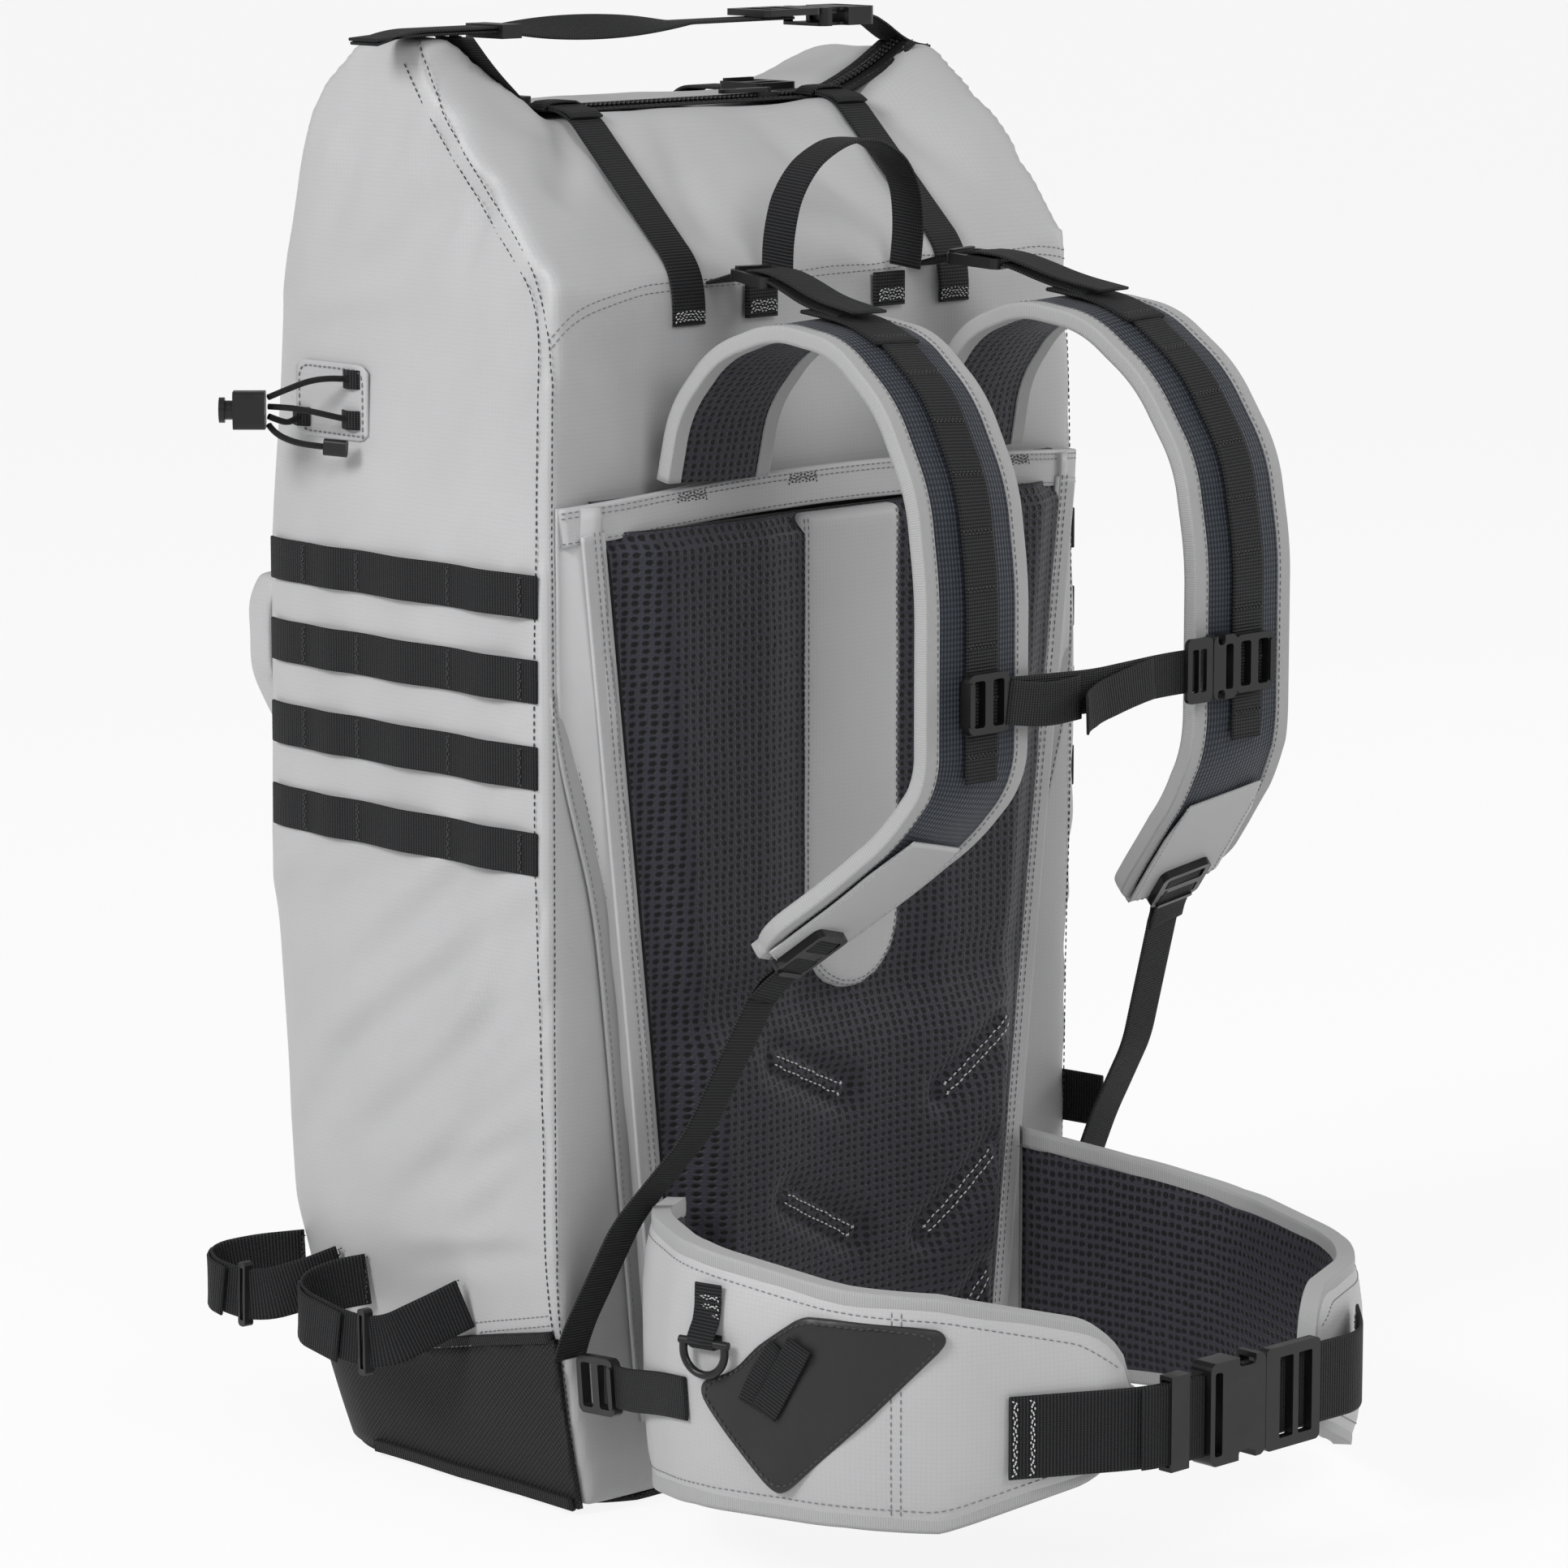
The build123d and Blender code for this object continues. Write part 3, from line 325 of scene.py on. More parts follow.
def make_materials():
    """Every finish of the pack, by a short name."""
    bag = bpy.context.scene.pack_bag
    web = bpy.context.scene.pack_webbing
    grey = tuple(bag.fabric)
    MATERIALS.update({
        "ripstop": ripstop("bag_ripstop", grey, bag.grid),
        "boot": basket_weave("boot_ballistic", (0.012, 0.012, 0.013), 0.0028),
        "mesh": spacer_mesh("air_mesh", (0.014, 0.014, 0.019), 0.0047),
        "webbing": ribbed_webbing("black_webbing", tuple(web.colour), web.rib),
        "binding": twill_tape("grey_binding", (0.37, 0.37, 0.373)),
        "knit": knit_face("strap_knit", (0.026, 0.032, 0.043), 0.0019),
        "plastic": moulded_plastic("black_acetal", (0.009, 0.009, 0.0095), 0.32),
        "coated": coated_fabric("coated_flap", (0.016, 0.016, 0.017)),
        "thread": thread("grey_thread", (0.17, 0.17, 0.176)),
        "pale_thread": thread("pale_thread", (0.55, 0.55, 0.56)),
        "dark_thread": thread("dark_thread", (0.03, 0.03, 0.032)),
        "sheet": moulded_plastic("frame_sheet_plastic", (0.03, 0.03, 0.03), 0.5),
        "stay": brushed_bar("stay_aluminium", (0.78, 0.79, 0.8)),
        "cord": basket_weave("bungee_sleeve", (0.014, 0.014, 0.015), 0.0012, 0.00015, 0.5),
    })


# ---------------------------------------------------------------- shaping helpers
def add_piece(name, mesh, materials, body="pack", stands_for=(), round_faces=True):
    """Puts a finished mesh in the scene as one piece that rides on a body."""
    piece = bpy.data.objects.new(name, mesh)
    bpy.context.scene.collection.objects.link(piece)
    if isinstance(materials, str):
        materials = [materials]
    if mesh.materials:
        mesh.materials.clear()
    for key in materials:
        mesh.materials.append(MATERIALS[key])
    if round_faces:
        mesh.shade_smooth()
    if not mesh.uv_layers:
        flat_uv(mesh)
    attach(piece, body)
    if stands_for:
        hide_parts(*stands_for)
    return piece


def flat_uv(mesh):
    """A UV map in metres, laid on each face from the side it mostly faces."""
    layer = mesh.uv_layers.new(name="weave")
    spots = np.empty(len(mesh.vertices) * 3)
    mesh.vertices.foreach_get("co", spots)
    spots = spots.reshape(-1, 3)
    uv = np.empty((len(mesh.loops), 2))
    for face in mesh.polygons:
        x, y, z = (abs(v) for v in face.normal)
        pick = (1, 2) if x >= y and x >= z else (0, 2) if y >= z else (0, 1)
        for loop in face.loop_indices:
            uv[loop] = spots[mesh.loops[loop].vertex_index][list(pick)]
    layer.data.foreach_set("uv", uv.ravel())


def soft_path(points, step=0.003, blend=0.010):
    """Points in millimetres made a close-set path in metres whose corners are eased."""
    path = [mm(*point) for point in points]
    spots = [path[0]]
    for a, b in zip(path, path[1:]):
        count = max(int((b - a).length / step), 1)
        spots += [a.lerp(b, (i + 1) / count) for i in range(count)]
    reach = max(int(blend / step), 0)
    eased = []
    for i in range(len(spots)):
        span = min(reach, i, len(spots) - 1 - i)
        near = spots[i - span:i + span + 1]
        eased.append(sum(near, Vector()) / len(near))
    return eased


def section(width, thick, crown=0.0, edge=None):
    """Points of a flat rounded section, anticlockwise; crown thickens its middle."""
    edge = thick if edge is None else edge
    half = width / 2
    outline = []
    shares = (-1, -0.94, -0.8, -0.5, 0, 0.5, 0.8, 0.94, 1)
    for s in shares:
        rise = mix(edge, thick, 1 - s * s) / 2 + crown * (1 - s * s)
        pull = 0.55 if abs(s) == 1 else 1
        outline.append((s * half, -rise * pull))
    for s in reversed(shares):
        rise = mix(edge, thick, 1 - s * s) / 2 + crown * (1 - s * s)
        pull = 0.55 if abs(s) == 1 else 1
        outline.append((s * half, rise * pull))
    return outline


def swept_mesh(name, path, frames, outline_at, two_sided=False):
    """Skin over one outline at each path point; UV runs in metres across and along."""
    bm = bmesh.new()
    uv = bm.loops.layers.uv.new("weave")
    rings = []
    lengths = [0.0]
    for a, b in zip(path, path[1:]):
        lengths.append(lengths[-1] + (b - a).length)
    for i, (spot, (across, up)) in enumerate(zip(path, frames)):
        outline = outline_at(i, lengths[i] / lengths[-1])
        rings.append([(bm.verts.new(spot + across * x + up * y), x) for x, y in outline])
    size = len(rings[0])
    for i in range(len(rings) - 1):
        for j in range(size):
            k = (j + 1) % size
            corners = (rings[i][j], rings[i][k], rings[i + 1][k], rings[i + 1][j])
            face = bm.faces.new([c[0] for c in corners])
            if two_sided:
                face.material_index = 0 if j < size / 2 else 1
            for loop, corner, row in zip(face.loops, corners, (i, i, i + 1, i + 1)):
                loop[uv].uv = (corner[1], lengths[row])
    for ring in (rings[0], rings[-1]):
        face = bm.faces.new([c[0] for c in ring])
        for loop, corner in zip(face.loops, ring):
            loop[uv].uv = (corner[1], 0)
    bmesh.ops.recalc_face_normals(bm, faces=bm.faces)
    mesh = bpy.data.meshes.new(name)
    bm.to_mesh(mesh)
    bm.free()
    return mesh


def path_frames(path, across):
    """Across and up directions at each point of a path; across may turn along it."""
    frames = []
    turning = across if callable(across) else None
    across = None if turning else Vector(across)
    for i in range(len(path)):
        if turning:
            across = Vector(turning(i / (len(path) - 1)))
        run = (path[min(i + 1, len(path) - 1)] - path[max(i - 1, 0)]).normalized()
        side = (across - run * across.dot(run)).normalized()
        frames.append((side, run.cross(side).normalized()))
    return frames


def strap_mesh(name, points, across, width, thick, off=0.0, crown=0.0, edge=None, blend=0.010, ease=None):
    """Webbing or a padded strip along a path; ease(share) scales its width."""
    path = soft_path(points, blend=blend)
    frames = path_frames(path, across)
    path = [spot + up * off * MM for spot, (side, up) in zip(path, frames)]

    def outline_at(i, share):
        scale = ease(share) if ease else 1.0
        return section(width * MM * scale, thick * MM, crown * MM, None if edge is None else edge * MM)

    return swept_mesh(name, path, frames, outline_at)


def mirrored(points, side):
    return [(side * x, y, z) for x, y, z in points]


def joined(name, meshes):
    """Several meshes made one."""
    bm = bmesh.new()
    for mesh in meshes:
        bm.from_mesh(mesh)
    whole = bpy.data.meshes.new(name)
    bm.to_mesh(whole)
    bm.free()
    for mesh in meshes:
        bpy.data.meshes.remove(mesh)
    return whole


def evaluated(piece):
    """The piece's mesh with its modifiers worked in, which are then taken off."""
    graph = bpy.context.evaluated_depsgraph_get()
    made = bpy.data.meshes.new_from_object(piece.evaluated_get(graph), depsgraph=graph)
    piece.modifiers.clear()
    return made


def cad_copy(name, shrink=0.0):
    """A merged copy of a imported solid, made a little smaller all round."""
    bm = bmesh.new()
    bm.from_mesh(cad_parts[name].data)
    bmesh.ops.remove_doubles(bm, verts=bm.verts, dist=1e-6)
    bmesh.ops.recalc_face_normals(bm, faces=bm.faces)
    if shrink:
        bm.normal_update()
        for vert in bm.verts:
            vert.co -= vert.normal * shrink
    for layer in list(bm.loops.layers.uv.values()):
        bm.loops.layers.uv.remove(layer)
    mesh = bpy.data.meshes.new(name + "_copy")
    bm.to_mesh(mesh)
    bm.free()
    return mesh


def cut_finer(mesh, size):
    """Splits the long edges of a copy until they are no longer than a size."""
    bm = bmesh.new()
    bm.from_mesh(mesh)
    bmesh.ops.triangulate(bm, faces=bm.faces)
    for _ in range(7):
        long = [edge for edge in bm.edges if edge.calc_length() > size]
        if not long:
            break
        bmesh.ops.subdivide_edges(bm, edges=long, cuts=1)
        bmesh.ops.triangulate(bm, faces=bm.faces)
    bm.to_mesh(mesh)
    bm.free()
    return mesh


def remeshed(mesh, voxel, rounds=4):
    """Even small faces over a closed shape, eased so that its edges turn softly."""
    holder = bpy.data.objects.new("holder", mesh)
    bpy.context.scene.collection.objects.link(holder)
    remesh = holder.modifiers.new("Remesh", "REMESH")
    remesh.mode = "VOXEL"
    remesh.voxel_size = voxel
    if rounds:
        ease = holder.modifiers.new("Ease", "SMOOTH")
        ease.iterations = rounds
        ease.factor = 0.5
    made = evaluated(holder)
    bpy.data.objects.remove(holder)
    return made


def swollen(mesh, pressure, cap, stiffness=15.0):
    """Cloth filled from inside, no point moved further than the cap."""
    holder = bpy.data.objects.new("holder", mesh)
    bpy.context.scene.collection.objects.link(holder)
    rest = [vert.co.copy() for vert in mesh.vertices]
    cloth = holder.modifiers.new("Cloth", "CLOTH")
    settings = cloth.settings
    settings.quality = 5
    settings.use_pressure = True
    settings.uniform_pressure_force = pressure
    settings.effector_weights.gravity = 0
    settings.tension_stiffness = stiffness
    settings.compression_stiffness = stiffness
    settings.bending_stiffness = 0.5
    cloth.point_cache.frame_start = 1
    cloth.point_cache.frame_end = 20
    for step in range(1, 21):
        bpy.context.scene.frame_set(step)
    made = evaluated(holder)
    bpy.data.objects.remove(holder)
    bpy.context.scene.frame_set(1)
    for vert, start in zip(made.vertices, rest):
        move = vert.co - start
        if move.length > cap:
            vert.co = start + move.normalized() * cap
    return made


def subdivided(mesh, levels=1):
    """The same mesh with smoothed, smaller faces."""
    holder = bpy.data.objects.new("holder", mesh)
    bpy.context.scene.collection.objects.link(holder)
    finer = holder.modifiers.new("Subdivision", "SUBSURF")
    finer.levels = levels
    finer.render_levels = levels
    made = evaluated(holder)
    bpy.data.objects.remove(holder)
    return made


def shaped(mesh, move):
    """Moves each vertex by what move(place, normal) returns."""
    mesh.update()
    moves = [move(vert.co.copy(), vert.normal.copy()) for vert in mesh.vertices]
    for vert, shift in zip(mesh.vertices, moves):
        vert.co += shift
    mesh.update()
    return mesh


def softened(mesh, rounds):
    """The same mesh with its small steps eased away."""
    holder = bpy.data.objects.new("holder", mesh)
    bpy.context.scene.collection.objects.link(holder)
    ease = holder.modifiers.new("Ease", "SMOOTH")
    ease.iterations = rounds
    ease.factor = 0.5
    made = evaluated(holder)
    bpy.data.objects.remove(holder)
    return made


def segment_distance(spot, a, b):
    """Distance from a point to a segment, and how far along it the nearest place is."""
    run = b - a
    share = min(max((spot - a).dot(run) / run.length_squared, 0), 1)
    return (spot - a - run * share).length, share


def crease(spot, a, b, width):
    """0 to 1 along a fold that dies out towards both ends."""
    distance, share = segment_distance(spot, a, b)
    if distance > width * 3:
        return 0.0
    return math.exp(-(distance / width) ** 2) * math.sin(math.pi * min(max(share, 0.02), 0.98)) ** 0.7


def surface_of(*pieces):
    """Something to lay stitches and tapes on."""
    from mathutils.bvhtree import BVHTree
    verts = []
    faces = []
    for piece in pieces:
        start = len(verts)
        verts += [vert.co.copy() for vert in piece.data.vertices]
        faces += [[start + i for i in face.vertices] for face in piece.data.polygons]
    return BVHTree.FromPolygons(verts, faces)


def laid(points, surface, lift=0.0003, step=0.004, blend=0.006, ease=0):
    """A path laid on a surface, with the surface's direction at each point."""
    spots = []
    ups = []
    path = soft_path(points, step, blend)
    if ease:
        path = [surface.find_nearest(spot)[0] for spot in path]
        for _ in range(ease):
            inner = [(a + b * 2 + c) / 4 for a, b, c in zip(path, path[1:], path[2:])]
            path = [path[0]] + inner + [path[-1]]
        for spot in path:
            normal = surface.find_nearest(spot)[1]
            spots.append(spot + normal * lift)
            ups.append(normal)
        return spots, ups
    for spot in path:
        place, normal, _, _ = surface.find_nearest(spot)
        spots.append(place + normal * lift)
        ups.append(normal)
    return spots, ups


def tape_mesh(name, points, surface, width, thick, lift=0.0, blend=0.006):
    """Tape that follows a surface."""
    spots, ups = laid(points, surface, (lift + thick / 2) * MM, 0.004, blend)
    frames = []
    for i, up in enumerate(ups):
        run = (spots[min(i + 1, len(spots) - 1)] - spots[max(i - 1, 0)]).normalized()
        near = ups[max(i - 2, 0):i + 3]
        up = (sum(near, Vector()) / len(near)).normalized()
        side = up.cross(run).normalized()
        frames.append((side, run.cross(side).normalized()))
    return swept_mesh(name, spots, frames, lambda i, s: section(width * MM, thick * MM))


# ---------------------------------------------------------------- stitches and teeth
def group_input(tree, name, kind, default):
    made = tree.interface.new_socket(name=name, in_out="INPUT", socket_type=kind)
    if default is not None:
        made.default_value = default
    return made


def stitch_tree():
    """Geometry Nodes: a short thread at each pitch along every curve."""
    tree = bpy.data.node_groups.new("Stitches", "GeometryNodeTree")
    tree.interface.new_socket(name="Geometry", in_out="INPUT", socket_type="NodeSocketGeometry")
    group_input(tree, "Pitch", "NodeSocketFloat", 0.0038)
    group_input(tree, "Thread", "NodeSocketFloat", 0.00045)
    group_input(tree, "Share", "NodeSocketFloat", 0.36)
    group_input(tree, "Material", "NodeSocketMaterial", None)
    tree.interface.new_socket(name="Geometry", in_out="OUTPUT", socket_type="NodeSocketGeometry")
    given = tree.nodes.new("NodeGroupInput")
    result = tree.nodes.new("NodeGroupOutput")
    points = node(tree, "GeometryNodeCurveToPoints", {"Curve": given.outputs["Geometry"],
                                                      "Length": given.outputs["Pitch"]}, mode="LENGTH")
    ball = node(tree, "GeometryNodeMeshUVSphere", {"Segments": 6, "Rings": 4, "Radius": 1.0})
    half = node(tree, "ShaderNodeMath", {0: given.outputs["Pitch"], 1: given.outputs["Share"]},
                operation="MULTIPLY")
    size = node(tree, "ShaderNodeCombineXYZ", {"X": given.outputs["Thread"], "Y": given.outputs["Thread"],
                                               "Z": half.outputs[0]})
    placed = node(tree, "GeometryNodeInstanceOnPoints",
                  {"Points": points.outputs["Points"], "Instance": ball.outputs["Mesh"],
                   "Rotation": points.outputs["Rotation"], "Scale": size.outputs[0]})
    real = node(tree, "GeometryNodeRealizeInstances", {"Geometry": placed.outputs[0]})
    finish = node(tree, "GeometryNodeSetMaterial", {"Geometry": real.outputs[0],
                                                    "Material": given.outputs["Material"]})
    tree.links.new(finish.outputs[0], result.inputs[0])
    return tree


def tooth_tree():
    """Geometry Nodes: two rows of interlocking zip teeth along every curve."""
    tree = bpy.data.node_groups.new("Zip teeth", "GeometryNodeTree")
    tree.interface.new_socket(name="Geometry", in_out="INPUT", socket_type="NodeSocketGeometry")
    group_input(tree, "Pitch", "NodeSocketFloat", 0.0026)
    group_input(tree, "Width", "NodeSocketFloat", 0.0046)
    group_input(tree, "Material", "NodeSocketMaterial", None)
    tree.interface.new_socket(name="Geometry", in_out="OUTPUT", socket_type="NodeSocketGeometry")
    given = tree.nodes.new("NodeGroupInput")
    result = tree.nodes.new("NodeGroupOutput")
    points = node(tree, "GeometryNodeCurveToPoints", {"Curve": given.outputs["Geometry"],
                                                      "Length": given.outputs["Pitch"]}, mode="LENGTH")
    long = node(tree, "ShaderNodeMath", {0: given.outputs["Pitch"], 1: 0.62}, operation="MULTIPLY")
    size = node(tree, "ShaderNodeCombineXYZ", {"X": given.outputs["Width"], "Y": 0.0022,
                                               "Z": long.outputs[0]})
    block = node(tree, "GeometryNodeMeshCube", {"Size": size.outputs[0]})
    placed = node(tree, "GeometryNodeInstanceOnPoints",
                  {"Points": points.outputs["Points"], "Instance": block.outputs["Mesh"],
                   "Rotation": points.outputs["Rotation"]})
    real = node(tree, "GeometryNodeRealizeInstances", {"Geometry": placed.outputs[0]})
    finish = node(tree, "GeometryNodeSetMaterial", {"Geometry": real.outputs[0],
                                                    "Material": given.outputs["Material"]})
    tree.links.new(finish.outputs[0], result.inputs[0])
    return tree


def repeat_along(name, paths, tree, values, material, body="pack", tilt_up=None):
    """One piece of what a tree repeats along the paths, made a plain mesh."""
    curve = bpy.data.curves.new(name, "CURVE")
    curve.dimensions = "3D"
    curve.twist_mode = "Z_UP" if tilt_up else "MINIMUM"
    for path in paths:
        spline = curve.splines.new("POLY")
        spline.points.add(len(path) - 1)
        for point, spot in zip(spline.points, path):
            point.co = (*spot, 1)
    holder = bpy.data.objects.new(name + "_line", curve)
    bpy.context.scene.collection.objects.link(holder)
    modifier = holder.modifiers.new("Repeat", "NODES")
    modifier.node_group = tree
    for item in tree.interface.items_tree:
        if item.in_out == "INPUT" and item.name in values:
            modifier[item.identifier] = values[item.name]
        if item.in_out == "INPUT" and item.name == "Material":
            modifier[item.identifier] = MATERIALS[material]
    mesh = evaluated(holder)
    bpy.data.objects.remove(holder)
    return add_piece(name, mesh, material, body)


def stitches(name, paths, material="thread", body="pack", pitch=None, size=0.0003):
    """Rows of stitches on paths of points."""
    pitch = pitch or bpy.context.scene.pack_bag.stitch
    tree = bpy.data.node_groups.get("Stitches") or stitch_tree()
    return repeat_along(name, paths, tree, {"Pitch": pitch, "Thread": size, "Share": 0.36}, material, body)


def zigzag(spot_a, spot_b, half, turns=9):
    """A tight zigzag bar tack between two points."""
    run = spot_b - spot_a
    path = []
    for i in range(turns * 2 + 1):
        path.append(spot_a + run * (i / (turns * 2)) + half * (1 if i % 2 else -1))
    return path


# ---------------------------------------------------------------- the bag
CORNER_LINE = [(-170, -88, 4), (-171, -89, 120), (-172, -90, 300), (-172, -90, 447), (-170, -90, 560),
               (-167, -86, 582), (-167, -64, 600), (-167, -42, 621), (-167, -20, 644), (-167, 3, 667),
               (-167, 6, 688)]
YOKE_LINE = [(-175, -95, 552), (-151, -95, 565), (-116, -95, 573), (-59, -95, 574), (50, -95, 575.5),
             (148, -95, 576), (168, -95, 572)]
SIDE_FOLDS = [((-87, 338), (55, 240), 9, 2.6), ((-87, 298), (70, 196), 9, 3.0), ((-87, 262), (52, 158), 8, 3.4),
              ((-87, 222), (26, 132), 8, 3.4), ((60, 300), (118, 262), 9, 2.0), ((-86, 520), (-15, 430), 9, 2.2),
              ((-60, 640), (60, 560), 14, 2.4), ((-87, 180), (-10, 118), 7, 2.6), ((-60, 668), (-25, 575), 7, 4.0),
              ((-20, 660), (10, 600), 9, 3.0), ((-86, 590), (-40, 520), 9, 2.6),
              ((-88, 560), (-30, 470), 10, 2.6), ((40, 660), (70, 590), 10, 2.4), ((-86, 470), (-50, 380), 9, 2.0),
              ((-88, 300), (-30, 215), 9, 3.2), ((-88, 250), (-20, 180), 8, 3.0), ((-86, 190), (-10, 150), 8, 3.2),
              ((-30, 250), (40, 170), 11, 2.2), ((-80, 130), (20, 105), 7, 2.6), ((30, 230), (100, 150), 11, 2.2),
              ((0, 560), (100, 545), 10, 1.8), ((20, 300), (110, 255), 10, 1.8), ((-60, 350), (-20, 290), 9, 1.6)]


def bag_surface(spot, normal):
    """How far the bag's cloth moves: folds, sag between seams and a soft unevenness."""
    x, y, z = spot / MM
    move = 0.0
    if abs(normal.x) > 0.4:
        side = 1 if x > 0 else -1
        place = Vector((y + (9 if side > 0 else 0), z + (12 if side > 0 else 0), 0))
        for a, b, width, depth in SIDE_FOLDS:
            move -= 1.35 * depth * crease(place, Vector((*a, 0)), Vector((*b, 0)), width * 0.8)
            beside = Vector((width * 0.9, width * 1.1, 0))
            move += 0.75 * depth * crease(place, Vector((*a, 0)) + beside, Vector((*b, 0)) + beside, width * 0.8)
        fine = Vector((0.9 * y + 0.75 * z, 0.22 * z - 0.2 * y, side * 40)) * 0.021
        move += 1.5 * noise.noise(fine) * smooth(-92, -70, y)
    if normal.y < -0.5 and z > 488:
        move += 1.3 * noise.noise(Vector((x * 0.012, z * 0.05, 3)))
        move -= 1.6 * crease(Vector((x, z, 0)), Vector((-150, 545, 0)), Vector((-60, 500, 0)), 9)
        move -= 1.6 * crease(Vector((x, z, 0)), Vector((150, 548, 0)), Vector((60, 505, 0)), 9)
    if normal.z > 0.4 or (normal.y > 0.4 and z > 560):
        move += 1.8 * noise.noise(Vector((x * 0.03, y * 0.03, z * 0.02)))
    if z > 640:
        move += 2.0 * noise.noise(Vector((x * 0.02, y * 0.045, 7)))
    if z > 575 and normal.y < 0.2 and normal.z > -0.2:
        rise = math.sin(math.pi * min(max((z - 575) / 112, 0), 1))
        move += 12.0 * smooth(98, 150, x) * rise * smooth(-0.2, -0.6, normal.y)
        move += 5.0 * smooth(98, 150, -x) * rise * smooth(-0.2, -0.6, normal.y)
        move -= 5.5 * crease(Vector((x, z, 0)), Vector((92, 668, 0)), Vector((135, 600, 0)), 9)
        move -= 5.0 * crease(Vector((x, z, 0)), Vector((-85, 655, 0)), Vector((-140, 610, 0)), 8)
        move -= 3.5 * crease(Vector((x, z, 0)), Vector((20, 645, 0)), Vector((60, 590, 0)), 8)
        move -= 3.0 * crease(Vector((x, z, 0)), Vector((-40, 645, 0)), Vector((-60, 590, 0)), 8)
    move += 0.9 * noise.noise(spot * 14)
    return normal * min(move, 13) * MM


def mesh_edge(z):
    """Half width of the mesh face at a height, in millimetres."""
    return mix(122, 149.5, (z - 221) / 245) if z > 221 else mix(104, 122, (z - 45) / 176)


def gusset_edge(z):
    """Half width of the cloth border round the mesh face, out to its slanted seam, in millimetres."""
    return mix(mesh_edge(z) + 14, 168, smooth(280, 400, z))


